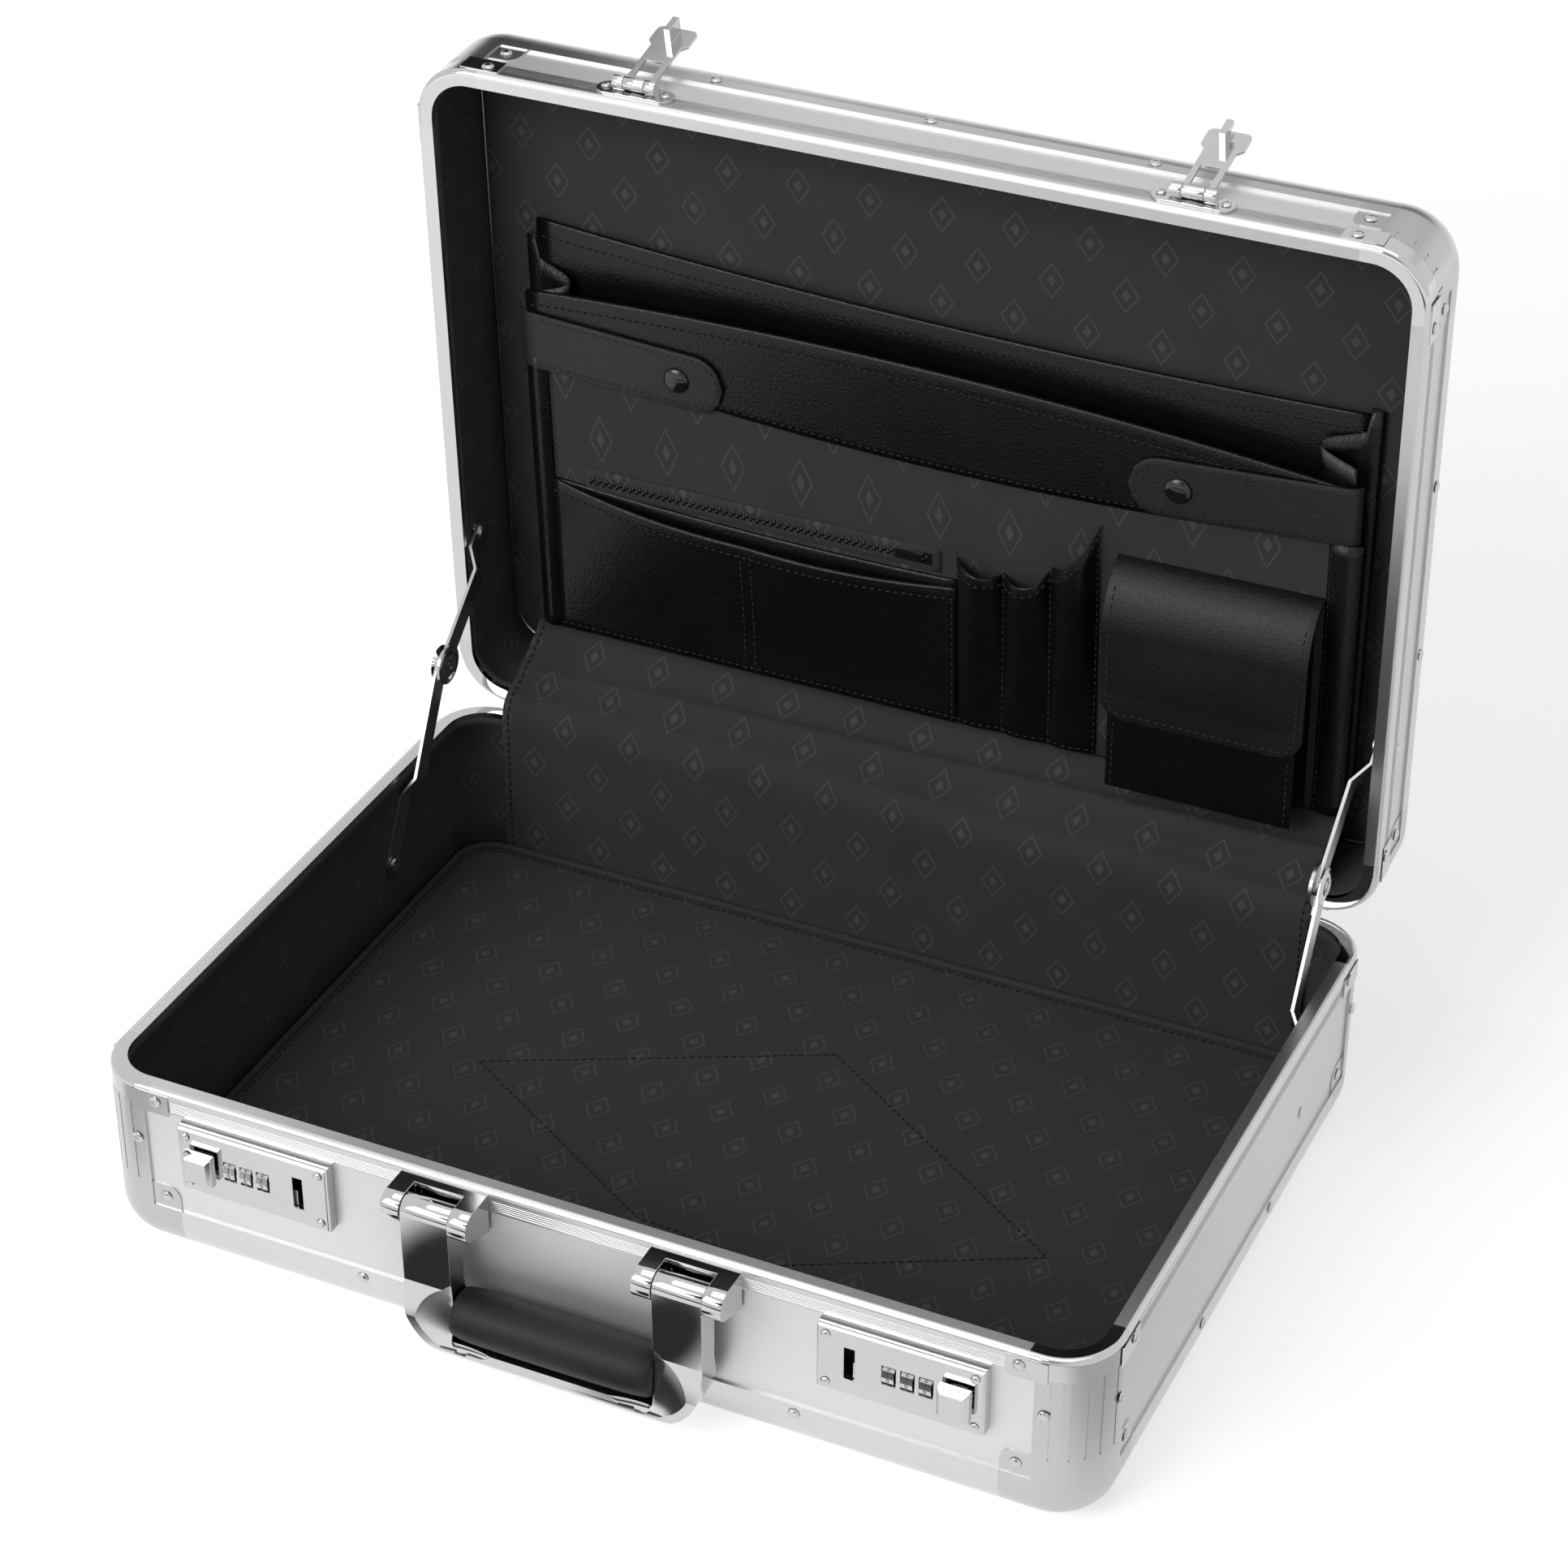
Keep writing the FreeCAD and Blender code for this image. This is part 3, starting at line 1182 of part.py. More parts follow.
JOINT = stay_joint()
for name, link, frame in (("stay_lower", stay_lower(), link_placement(BASE_PIVOT, JOINT)),
                          ("stay_upper", stay_upper(), link_placement(JOINT, LID_PIVOT))):
    link.Placement = frame
    part(name + "_right", link)
    part(name + "_left", mirrored(name + "_left", link, Vector(1, 0, 0)))


# Rivets of the two halves, with the pins and rosettes that hold the stays

def lock_rivets():
    head = dome_shape(value("lock_rivet_radius"), value("rivet_dome"))
    across = value("lock_width / 2 - lock_rivet_inset")
    up = value("lock_height / 2 - lock_rivet_inset")
    heads = []
    for side in (-1, 1):
        for step_x in (-1, 1):
            for step_z in (-1, 1):
                place = Vector(side * value("lock_centre") + step_x * across, value(LOCK_FRONT),
                               value("lock_level") + step_z * up)
                heads.append(facing(head, place, Vector(0, -1, 0)))
    return heads


def hinge_rivets(level):
    head = dome_shape(value("lock_rivet_radius"), value("rivet_dome"))
    back = value(f"{HALF_Y} + hinge_leaf")
    heads = []
    for side in (-1, 1):
        for step in (-0.32, 0.32):
            place = Vector(side * value("hinge_spacing / 2") + step * value("hinge_length"), back,
                           level)
            heads.append(facing(head, place, Vector(0, 1, 0)))
    return heads


def hasp_rivets():
    head = dome_shape(value("lock_rivet_radius"), value("rivet_dome"))
    spread = value("(hasp_plate_length + hasp_barrel_length) / 4")
    heads = []
    for side in (-1, 1):
        for step in (-1, 1):
            place = Vector(side * value("slot_place") + step * spread, value(f"{FRONT} - hasp_plate"),
                           value(HASP_Z))
            heads.append(facing(head, place, Vector(0, -1, 0)))
    return heads


def stay_outer_heads(along, level):
    head = dome_shape(value("rivet_radius"), value("rivet_dome"))
    face = value(f"{HALF_X} - profile_sheet")
    return [facing(head, Vector(side * face, along, level), Vector(side, 0, 0)) for side in (-1, 1)]


def stay_base_pins():
    """Shouldered pins that hold the lower links to the walls."""
    start = value(f"{HALF_X} - ({LINED})")
    hub = value(STAY_WALL) - value("stay_sheet + stay_wall_gap")
    radius = value("stay_pin_radius")
    pins = []
    for side in (-1, 1):
        shank = Part.makeCylinder(radius, start - hub, Vector(side * start, BASE_PIVOT.y,
                BASE_PIVOT.z), Vector(-side, 0, 0))
        head = Part.makeCylinder(1.6 * radius, value("stay_sheet"), Vector(side * hub, BASE_PIVOT.y,
                BASE_PIVOT.z),
                                 Vector(-side, 0, 0))
        pins.append(shank.fuse(head).removeSplitter())
    return pins


def stay_lid_rosettes():
    """Round plates on the lid's walls against which the upper links' ends turn."""
    start = value(f"{HALF_X} - ({LINED})")
    place_y = value("stay_pivot_y")
    place_z = value("base_height + stay_lid_depth")
    return [Part.makeCylinder(value("stay_width / 2"), 1.0, Vector(side * start, place_y, place_z),
                              Vector(-side, 0, 0))
            for side in (-1, 1)]


def feature(name, solids, placement=None):
    item = doc.addObject("Part::Feature", name)
    item.Shape = Part.makeCompound(solids)
    item.Placement = placement or Placement()
    return part(name, item)


base_level = value("base_height - 0.62 * hinge_leaf_height")
feature("base_rivets", shell_rivets(value("base_height"),
                                    True) + lock_rivets() + hinge_rivets(base_level)
        + stay_outer_heads(BASE_PIVOT.y, BASE_PIVOT.z) + stay_base_pins())

lid_heads = shell_rivets(value("lid_height"), False)
for head in lid_heads:
    head.Placement = TURNED_OVER.multiply(head.Placement)
lid_level = value("base_height + 0.62 * hinge_leaf_height")
lid_heads += hinge_rivets(lid_level) + hasp_rivets() + stay_lid_rosettes()
lid_heads += stay_outer_heads(value("stay_pivot_y"), value("base_height + stay_lid_depth"))
feature("lid_rivets", lid_heads, OPENING)


# Lid organiser: divider, front panel and gussets of an expanding file pocket, with small pockets


def depth(expression):
    """Height on the closed lid of a depth counted from its mouth."""
    return f"base_height + ({expression})"


LID_FACE = "lid_height - lid_pad_level"
ORGANISER_X = "organiser_width / 2"
SPAN_X = (f"-({ORGANISER_X})", ORGANISER_X)
FRONT_FACE = "organiser_depth"


def sheet_panel(name, x, y, near, far):
    """A flat piece of the organiser between two depths."""
    return group(name, [block(name + "_cloth", x, y, (depth(near), depth(far)))])


def gussets():
    """Side gussets folded like bellows behind the front panel, and the strip under them."""
    start = f"{FRONT_FACE} + organiser_cloth"
    step = f"(({LID_FACE}) - ({start})) / 4"
    near = ORGANISER_X
    far = f"{ORGANISER_X} + gusset_width"
    inner = []
    for number in range(5):
        inner.append((near if number % 2 == 0 else f"{far} - gusset_cloth",
                      depth(f"{start} + {number} * {step}")))
    outer = [(f"{across} + gusset_cloth", up) for across, up in reversed(inner)]
    bellows = profile("gusset", "XZ_Plane", inner + outer, "divider_top", "organiser_foot")
    foot = sheet_panel("gusset_foot", SPAN_X, ("organiser_foot", "organiser_foot + organiser_cloth"),
                       FRONT_FACE, LID_FACE)
    return group("organiser_gussets", [bellows, mirrored("gusset_left", bellows, Vector(1, 0, 0)),
                                       foot])


def pen_loops():
    """Three pleated pen holders side by side, higher on the right."""
    step = "(pen_pockets_right - pocket_right) / 3"
    face = FRONT_FACE
    pieces = []
    for number, share in enumerate((0.4, 0.55, 1.0)):
        left = f"pocket_right + {number} * {step}"
        right = f"pocket_right + {number + 1} * {step}"
        outline = [(left, depth(face)), (right, depth(face)), (f"{right} - 0.2 * {step}",
                depth(f"{face} - pen_pocket_proud")),
                   (f"{left} + 0.2 * {step}", depth(f"{face} - pen_pocket_proud"))]
        top = f"pocket_top - {share} * pen_pocket_rise"
        loop = profile(f"pen_loop{number}", "XZ_Plane", outline, top, "pocket_foot", {2: "3", 3: "3"})
        bore = [(f"{left} + 0.15 * {step}", depth(f"{face} - 1")), (f"{right} - 0.15 * {step}",
                depth(f"{face} - 1")),
                (f"{right} - 0.27 * {step}", depth(f"{face} - pen_pocket_proud + 1.2")),
                (f"{left} + 0.27 * {step}", depth(f"{face} - pen_pocket_proud + 1.2"))]
        hollow = profile(f"pen_bore{number}", "XZ_Plane", bore, f"{top} - 1", "pocket_foot - 3",
                         {2: "2", 3: "2"})
        pieces.append(cut(f"pen_holder{number}", loop, [hollow]))
    return fuse("pen_pockets", pieces)


def phone_pouch():
    """Stiff leather pouch, open at the top under its flap."""
    near = f"{FRONT_FACE} - pouch_thickness"
    outline = [("pouch_left", "pouch_top"), ("pouch_right", "pouch_top"), ("pouch_right",
            "pouch_foot"), ("pouch_left", "pouch_foot")]
    body = profile("pouch_body", "XY_Plane", outline, depth(near), depth(FRONT_FACE), {2: "6", 3: "6"})
    hollow = block("pouch_hollow", ("pouch_left + pouch_wall", "pouch_right - pouch_wall"),
                   ("pouch_top - 1", "pouch_foot - pouch_wall"),
                   (depth(f"{near} + pouch_wall"), depth(f"{FRONT_FACE} - pouch_wall")))
    return cut("phone_pouch", body, [hollow])


def phone_flap():
    """Flap that folds over the pouch's mouth and hangs down its front."""
    near = f"{FRONT_FACE} - pouch_thickness - 0.4"
    top = "pouch_top - 0.4"
    outline = [(top, depth(FRONT_FACE)), (top, depth(near)), (f"{top} + flap_drop", depth(near)),
               (f"{top} + flap_drop", depth(f"{near} - flap_leather")), (f"{top} - flap_leather",
                       depth(f"{near} - flap_leather")),
               (f"{top} - flap_leather", depth(FRONT_FACE))]
    return profile("phone_flap", "YZ_Plane", outline, "pouch_left - flap_overhang",
                   "pouch_right + flap_overhang",
                   {4: "flap_leather + 2"})


def strap():
    """Closing strap with a rounded end, sewn to the side of the front panel."""
    end = f"{ORGANISER_X} - strap_length"
    low = "strap_centre - strap_height / 2"
    high = "strap_centre + strap_height / 2"
    return profile("strap", "XY_Plane", [(end, low), (ORGANISER_X, low), (ORGANISER_X, high), (end,
            high)],
                   depth(f"{FRONT_FACE} - strap_leather"), depth(FRONT_FACE),
                   {0: "strap_height / 2 - 0.2", 3: "strap_height / 2 - 0.2"})


def snaps():
    """Press studs near the rounded ends of the straps."""
    right = rod("snap", "Z", "snap_radius", (f"{ORGANISER_X} - strap_length + snap_inset",
                                             "strap_centre",
                                             depth(f"{FRONT_FACE} - strap_leather - snap_height")),
                                             "snap_height")
    return both_sides("snap_buttons", right)


def zip_slider():
    """Slider body with its pull tab lying along the zip."""
    high = f"{FRONT_FACE} - zip_tape"
    body = block("slider_body", ("zip_right - zip_slider_length", "zip_right"),
                 ("zip_centre - zip_width / 4", "zip_centre + zip_width / 4"),
                 (depth(f"{high} - 2.6"), depth(f"{high} - 0.3")))
    tab = block("slider_tab", ("zip_right - 2 * zip_slider_length",
                               "zip_right - zip_slider_length / 2"),
                ("zip_centre - zip_width / 6", "zip_centre + zip_width / 6"), (depth(f"{high} - 3.8"),
                        depth(f"{high} - 2.6")))
    return fuse("zip_slider", [body, tab])


organiser = {
    "organiser_divider": sheet_panel("organiser_divider", SPAN_X, ("divider_top", "organiser_foot"),
                                     "divider_depth", "divider_depth + organiser_cloth"),
    "organiser_front": sheet_panel("organiser_front", SPAN_X, ("organiser_top", "organiser_foot"),
                                   FRONT_FACE, f"{FRONT_FACE} + organiser_cloth"),
    "organiser_gussets": gussets(),
    "card_pocket": sheet_panel("card_pocket", ("pocket_left", "pocket_right"), ("pocket_top",
            "pocket_foot"),
                               f"{FRONT_FACE} - pocket_thickness", FRONT_FACE),
    "pen_pockets": pen_loops(),
    "phone_pouch": phone_pouch(),
    "phone_pouch_flap": phone_flap(),
    "organiser_straps": both_sides("organiser_straps", strap()),
    "snap_buttons": snaps(),
    "zip_tape": sheet_panel("zip_tape", ("zip_left", "zip_right + 4"),
                            ("zip_centre - zip_width / 2", "zip_centre + zip_width / 2"),
                            f"{FRONT_FACE} - zip_tape", FRONT_FACE),
    "zip_slider": zip_slider(),
}
for name, item in organiser.items():
    opened(part(name, item))


# Cloth apron from the base's back wall over the hinge line to the lid's back wall


def hinge_apron():
    """A sheet that rises along the base's back wall and over the lid's rail to the organiser's foot."""
    base_wall = value(f"{HALF_Y} - rail_width - stay_wall_gap")
    lip = value("base_height")
    rise = value("apron_rise")
    cloth = value("apron_cloth")
    crease = Vector(0, base_wall + rise, lip + 2 * rise)
    over_rail = OPENING.multVec(Vector(0, base_wall - rise, lip + rise / 3))
    end = OPENING.multVec(Vector(0, value("organiser_foot + organiser_cloth + apron_end_gap"),
                                 value("base_height + organiser_depth")))
    line = [Vector(0, base_wall, value("apron_foot")), Vector(0, base_wall, lip), crease, over_rail,
            end]
    upper = [Vector(p.x, p.y - cloth, p.z + (cloth if p.z > lip else 0)) for p in line]
    width = value("apron_width")
    ring = [Vector(-width / 2, p.y, p.z) for p in line + upper[::-1]]
    face = Part.Face(Part.makePolygon(ring + ring[:1]))
    return face.extrude(Vector(width, 0, 0))


feature("hinge_apron", [hinge_apron()])


doc.recompute()
for item in doc.Objects:
    if any(word in item.State for word in ("Invalid", "Error")):
        raise RuntimeError(f"{item.Name} failed: {item.State}")
for name, item in PARTS.items():
    if item.Shape.isNull() or not item.Shape.isValid() or not item.Shape.Solids:
        raise RuntimeError(f"{name} has no valid solid")

os.makedirs("parts", exist_ok=True)
for name, item in PARTS.items():
    item.Shape.exportStep(f"parts/{name}.step")
print(len(PARTS), "parts,", sum(len(item.Shape.Solids) for item in PARTS.values()), "solids")
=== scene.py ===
import bisect
import math

import bmesh
import bpy
from mathutils import Matrix, Vector
from mathutils.geometry import interpolate_bezier


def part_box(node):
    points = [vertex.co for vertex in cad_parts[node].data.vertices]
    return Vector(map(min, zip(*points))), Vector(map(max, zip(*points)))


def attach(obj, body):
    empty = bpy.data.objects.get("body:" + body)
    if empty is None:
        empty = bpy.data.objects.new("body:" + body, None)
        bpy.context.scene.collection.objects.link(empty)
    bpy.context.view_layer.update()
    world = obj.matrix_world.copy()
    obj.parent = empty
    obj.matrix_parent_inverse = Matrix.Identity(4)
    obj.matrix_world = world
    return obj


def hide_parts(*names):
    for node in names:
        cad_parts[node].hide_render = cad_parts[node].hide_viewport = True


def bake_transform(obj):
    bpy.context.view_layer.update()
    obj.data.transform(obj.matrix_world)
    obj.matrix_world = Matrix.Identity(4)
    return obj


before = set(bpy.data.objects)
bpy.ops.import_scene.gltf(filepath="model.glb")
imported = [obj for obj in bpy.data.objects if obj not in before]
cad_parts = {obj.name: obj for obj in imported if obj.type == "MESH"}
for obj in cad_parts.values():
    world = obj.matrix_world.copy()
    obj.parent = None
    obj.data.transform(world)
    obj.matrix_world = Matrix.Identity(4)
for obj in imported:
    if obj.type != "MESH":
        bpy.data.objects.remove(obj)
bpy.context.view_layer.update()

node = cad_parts

# Viewpoint: a long lens from the front right, above the open case, turned and shifted so that the
# case fills the square frame.
EYE = Vector((0.6105, -1.2811, 1.1265))
SIGHT = Vector((-0.35202, 0.73578, -0.57854))
RIGHT = Vector((0.9031, 0.42941, -0.00338))
lens = bpy.data.cameras.new("lens")
lens.sensor_width = 36.0
lens.lens = 93.2
lens.shift_x = 0.0285
lens.shift_y = 0.0996
viewer = bpy.data.objects.new("viewer", lens)
up = RIGHT.cross(SIGHT)
viewer.matrix_world = Matrix.Translation(EYE) @ Matrix((RIGHT, up, -SIGHT)).transposed().to_4x4()
bpy.context.scene.collection.objects.link(viewer)
bpy.context.scene.camera = viewer

# Studio: a broad pale table in a white room, under two broad lamps, with dark cards that only bright
# metal shows.
bpy.context.scene.view_settings.view_transform = "Standard"
SHADER = "Principled BSDF"


class Wire:
    """An output socket of a material; arithmetic on wires adds Math nodes beside it."""

    def __init__(self, tree, socket):
        self.tree = tree
        self.socket = socket

    def node(self, kind, settings=None, inputs=None, output=0):
        """Adds a node: its settings first, then the values or links of its sockets."""
        made = self.tree.nodes.new(kind)
        for key, item in (settings or {}).items():
            setattr(made, key, item)
        for key, item in (inputs or {}).items():
            if isinstance(item, Wire):
                self.tree.links.new(item.socket, made.inputs[key])
            else:
                made.inputs[key].default_value = item
        return Wire(self.tree, made.outputs[output])

    def math(self, operation, *values):
        return self.node("ShaderNodeMath", {"operation": operation}, dict(enumerate(values)))

    def __add__(self, other):
        return self.math("ADD", self, other)

    def __sub__(self, other):
        return self.math("SUBTRACT", self, other)

    def __rsub__(self, other):
        return self.math("SUBTRACT", other, self)

    def __mul__(self, other):
        return self.math("MULTIPLY", self, other)

    def __truediv__(self, other):
        return self.math("DIVIDE", self, other)

    def __rtruediv__(self, other):
        return self.math("DIVIDE", other, self)

    __radd__ = __add__
    __rmul__ = __mul__


def new_finish(name, **constants):
    """A material with its shader's constant sockets set, and its Object coordinates as a wire."""
    material = bpy.data.materials.new(name)
    material.use_nodes = True
    tree = material.node_tree
    for key, item in constants.items():
        tree.nodes[SHADER].inputs[key.replace("_", " ")].default_value = item
    place = tree.nodes.new("ShaderNodeTexCoord")
    return material, Wire(tree, place.outputs["Object"])


def flat_of(material):
    """The flat measure of the piece that a material covers, as a wire."""
    tree = material.node_tree
    return Wire(tree, tree.nodes.new("ShaderNodeUVMap").outputs["UV"])


def feed(material, **wires):
    """Links wires to the shader's sockets."""
    tree = material.node_tree
    for key, wire in wires.items():
        tree.links.new(wire.socket, tree.nodes[SHADER].inputs[key.replace("_", " ")])


def mix(wire, low, high):
    """A colour between two others, by a wire from 0 to 1; a Mix node's colours are its sockets 6 and 7."""
    return wire.node("ShaderNodeMix", {"data_type": "RGBA"}, {"Factor": wire, 6: low, 7: high}, 2)


def grey(wire, dark, light):
    """A wire from 0 to 1 as a neutral colour between two shades."""
    return mix(wire, (dark, dark, dark, 1.0), (light, light, light, 1.0))


def noise(coords, scale=1.0, detail=2.0, roughness=0.5):
    return coords.node("ShaderNodeTexNoise", None,
                       {"Vector": coords, "Scale": scale, "Detail": detail, "Roughness": roughness})


def seen(wire):
    """1 for rays of the camera and for those that metal or glass sends on, and 0 for the rest."""
    path = wire.tree.nodes.new("ShaderNodeLightPath")
    kinds = ("Camera", "Glossy", "Transmission")
    rays = [Wire(wire.tree, path.outputs[f"Is {kind} Ray"]) for kind in kinds]
    return rays[0].math("MINIMUM", rays[0] + rays[1] + rays[2], 1.0)


def new_object(name, shape, finish):
    """Makes an object of a finished bmesh."""
    mesh = bpy.data.meshes.new(name)
    shape.to_mesh(mesh)
    shape.free()
    mesh.materials.append(finish)
    made = bpy.data.objects.new(name, mesh)
    bpy.context.scene.collection.objects.link(made)
    return made


TABLE_HALF = 6.0
TABLE_LEVEL = -0.0004
table_finish, table_coords = new_finish("pale_table", Roughness=0.7, Emission_Strength=1.0)
far = table_coords.node("ShaderNodeVectorMath", {"operation": "LENGTH"}, {0: table_coords}, 1)
glow = far.node("ShaderNodeMapRange", None,
                {"Value": far, "From Min": 0.4, "From Max": 3.0, "To Min": 0.56, "To Max": 0.95})
feed(table_finish, Base_Color=grey(noise(table_coords, 3.0), 0.80, 0.82),
     Emission_Color=grey(seen(table_coords) * glow, 0.0, 1.0))
sheet = bmesh.new()
bmesh.ops.create_grid(sheet, x_segments=1, y_segments=1, size=TABLE_HALF)
bmesh.ops.translate(sheet, verts=sheet.verts, vec=(0.0, 0.0, TABLE_LEVEL))
table_top = new_object("table_top", sheet, table_finish)

ROOM_LIGHT = 0.18
room = bpy.data.worlds.new("white_room")
room.use_nodes = True
bpy.context.scene.world = room
sky = room.node_tree.nodes["Background"]
sky.inputs["Color"].default_value = (1.0, 1.0, 1.0, 1.0)
sky_light = seen(Wire(room.node_tree, None)) * (1.0 - ROOM_LIGHT) + ROOM_LIGHT
room.node_tree.links.new(sky_light.socket, sky.inputs["Strength"])


def card_finish(name, strength):
    """A dark card's finish, which fades out towards the card's edges."""
    material, coords = new_finish(name, Roughness=0.9)
    spread = flat_of(material)
    middle = spread.node("ShaderNodeVectorMath", {"operation": "DISTANCE"},
                         {0: spread, 1: (0.5, 0.5, 0.0)}, "Value")
    fade = middle.node("ShaderNodeMapRange", {"interpolation_type": "SMOOTHSTEP"},
                       {"Value": middle, "From Min": 0.2, "From Max": 0.5,
                        "To Min": strength, "To Max": 0.0})
    feed(material, Base_Color=grey(noise(coords, 4.0), 0.010, 0.016), Alpha=fade)
    return material


def dark_card(name, finish, place, target, width, height):
    """A card that faces a point; neither the camera nor the lamps see it, only reflections do."""
    made = bmesh.new()
    made.loops.layers.uv.new("flat")
    turn = (Vector(target) - Vector(place)).to_track_quat("Z", "Y").to_matrix().to_4x4()
    spot = Matrix.Translation(place) @ turn @ Matrix.Diagonal((width, height, 1.0, 1.0))
    bmesh.ops.create_grid(made, x_segments=1, y_segments=1, size=0.5, calc_uvs=True, matrix=spot)
    card = new_object(name, made, finish)
    card.visible_camera = False
    card.visible_diffuse = False
    card.visible_shadow = False


black_card = card_finish("black_card", 1.0)
grey_card = card_finish("grey_card", 0.42)
CARDS_ON_TABLE = (("card_beside", grey_card, (0.36, -0.16, 0.001), 0.26, 0.75),
                  ("card_before", grey_card, (-0.30, -0.24, 0.001), 0.16, 0.14),
                  ("card_arm_left", black_card, (-0.081, -0.238, 0.002), 0.086, 0.094),
                  ("card_arm_right", black_card, (0.020, -0.238, 0.002), 0.066, 0.094))
dark_card("card_front", black_card, (0.2, -1.9, 1.25), (0.0, 0.0, 0.1), 2.4, 0.8)
dark_card("card_low", black_card, (0.0, -0.62, 0.03), (0.0, -0.45, 0.40), 1.5, 0.22)
dark_card("card_back", black_card, (0.0, 1.4, 0.9), (0.0, 0.1, 0.2), 2.0, 0.5)
dark_card("card_bracket", black_card, (-0.39, 0.45, 0.60), (-0.06, -0.18, 0.09), 0.34, 0.42)
for name, finish, place, width, height in CARDS_ON_TABLE:
    dark_card(name, finish, place, (place[0], place[1], 1.0), width, height)


def softbox(name, place, target, width, height, power):
    """A rectangular lamp that faces a point."""
    lamp = bpy.data.lights.new(name, "AREA")
    lamp.shape = "RECTANGLE"
    lamp.size = width
    lamp.size_y = height
    lamp.energy = power
    holder = bpy.data.objects.new(name, lamp)
    holder.location = place
    holder.rotation_euler = (Vector(target) - Vector(place)).to_track_quat("-Z", "Y").to_euler()
    bpy.context.scene.collection.objects.link(holder)


softbox("lamp_key", (-0.9, -2.1, 1.5), (0.0, 0.0, 0.15), 1.8, 1.4, 42.0)
softbox("lamp_above", (0.0, -0.2, 1.8), (0.0, 0.0, 0.1), 1.6, 1.2, 6.0)


# Boards: thin aluminium sheet on a stiff core, brushed along the case and lacquered, held between
# the profiles.
def coat(names, material):
    """Gives CAD nodes their finish."""
    for name in names:
        node[name].data.materials.clear()
        node[name].data.materials.append(material)


def bump(wire, strength, distance):
    """A normal that follows the relief of a wire."""
    return wire.node("ShaderNodeBump", None, {"Height": wire, "Strength": strength, "Distance": distance})


def stretched(coords, scale, turn=(0.0, 0.0, 0.0)):
    """Coordinates turned back by an angle and stretched, so that noise on them runs in streaks."""
    return coords.node("ShaderNodeMapping", {"vector_type": "TEXTURE"},
                       {"Vector": coords, "Rotation": turn, "Scale": [1.0 / part for part in scale]})


def brushed(name, scale, turn=(0.0, 0.0, 0.0)):
    """Brushed metal, with streaks across the axis of the greatest scale."""
    material, coords = new_finish(name, Metallic=0.8)
    streaks = noise(stretched(coords, scale, turn), 1.0, 3.0, 0.6)
    broad = noise(coords, 6.0)
    feed(material, Base_Color=grey(streaks, 0.62, 0.74), Roughness=streaks * 0.12 + broad * 0.06 + 0.38,
         Normal=bump(streaks, 0.25, 0.0002))
    return material


LID_TURN = (math.radians(-87.4), 0.0, 0.0)
WALL_STREAKS = (6.0, 6.0, 1800.0)
BOARD_STREAKS = (6.0, 1800.0, 6.0)
coat(["base_wall_panels"], brushed("brushed_walls", WALL_STREAKS))
coat(["bottom_panel"], brushed("brushed_bottom", BOARD_STREAKS))
coat(["lid_wall_panels"], brushed("brushed_lid_walls", WALL_STREAKS, LID_TURN))
coat(["lid_top_panel"], brushed("brushed_lid_top", BOARD_STREAKS, LID_TURN))

# Profiles: extruded and anodised aluminium with fine drawing lines along its length, riveted over the
# boards' edges, with ball caps on the corners.
PROFILES = (("edge_rails", "edge", 0.55, 0.61, (0.2, 0.2, 2400.0)),
            ("mouth_rails", "mouth", 0.40, 0.76, (0.2, 0.2, 1500.0)),
            ("corner_posts", "posts", 0.46, 0.54, (1500.0, 1500.0, 0.2)),
            ("corner_caps", "caps", 0.46, 0.54, (20.0, 20.0, 20.0)))


def anodised(name, dark, light, scale, turn):
    """Anodised metal, with lines across the axes of the greatest scale."""
    material, coords = new_finish(name, Metallic=1.0)
    lines = noise(stretched(coords, scale, turn), 1.0, 2.0)
    feed(material, Base_Color=grey(lines, dark, light), Roughness=lines * 0.06 + 0.24)
    return material


for half, turn in (("base", (0.0, 0.0, 0.0)), ("lid", LID_TURN)):
    for kind, word, dark, light, scale in PROFILES:
        coat([f"{half}_{kind}"], anodised(f"anodised_{half}_{word}", dark, light, scale, turn))

# Bright fittings: zinc castings and steel pressings with polished chrome, riveted to the profiles and
# the walls.
HANDS = {"left": -1, "right": 1}
RIVETS = ["base_rivets", "lid_rivets"]
LOCK_FITTINGS = ["lock_plates", "lock_button_left", "lock_button_right", "hasp_bases", "hasp_arm_left",
                 "hasp_arm_right"]
DIALS = [f"{word}_{number}" for word in HANDS for number in (1, 2, 3)]
chrome_finish, chrome_coords = new_finish("polished_chrome", Metallic=1.0)
smear = noise(chrome_coords, 60.0, 3.0)
feed(chrome_finish, Base_Color=grey(smear, 0.50, 0.56), Roughness=smear * 0.06 + 0.04)
coat(["base_mouth_corners", "lid_mouth_corners", "hinge_base_leaves", "hinge_lid_leaves", "hinge_pins",
      "handle_brackets", "handle_pins", "handle_frame"], chrome_finish)
coat(RIVETS + LOCK_FITTINGS + ["dial_" + dial for dial in DIALS], chrome_finish)


WELD_REACH = 0.000005


def weld(made):
    """Joins the corners that neighbouring CAD faces share."""
    joined = made.modifiers.new("weld", "WELD")
    joined.merge_threshold = WELD_REACH


def bevel(made, name, width, segments, angle):
    """Rounds the edges that are sharper than an angle in degrees."""
    edge = made.modifiers.new(name, "BEVEL")
    edge.width = width
    edge.segments = segments
    edge.limit_method = "ANGLE"
    edge.angle_limit = math.radians(angle)


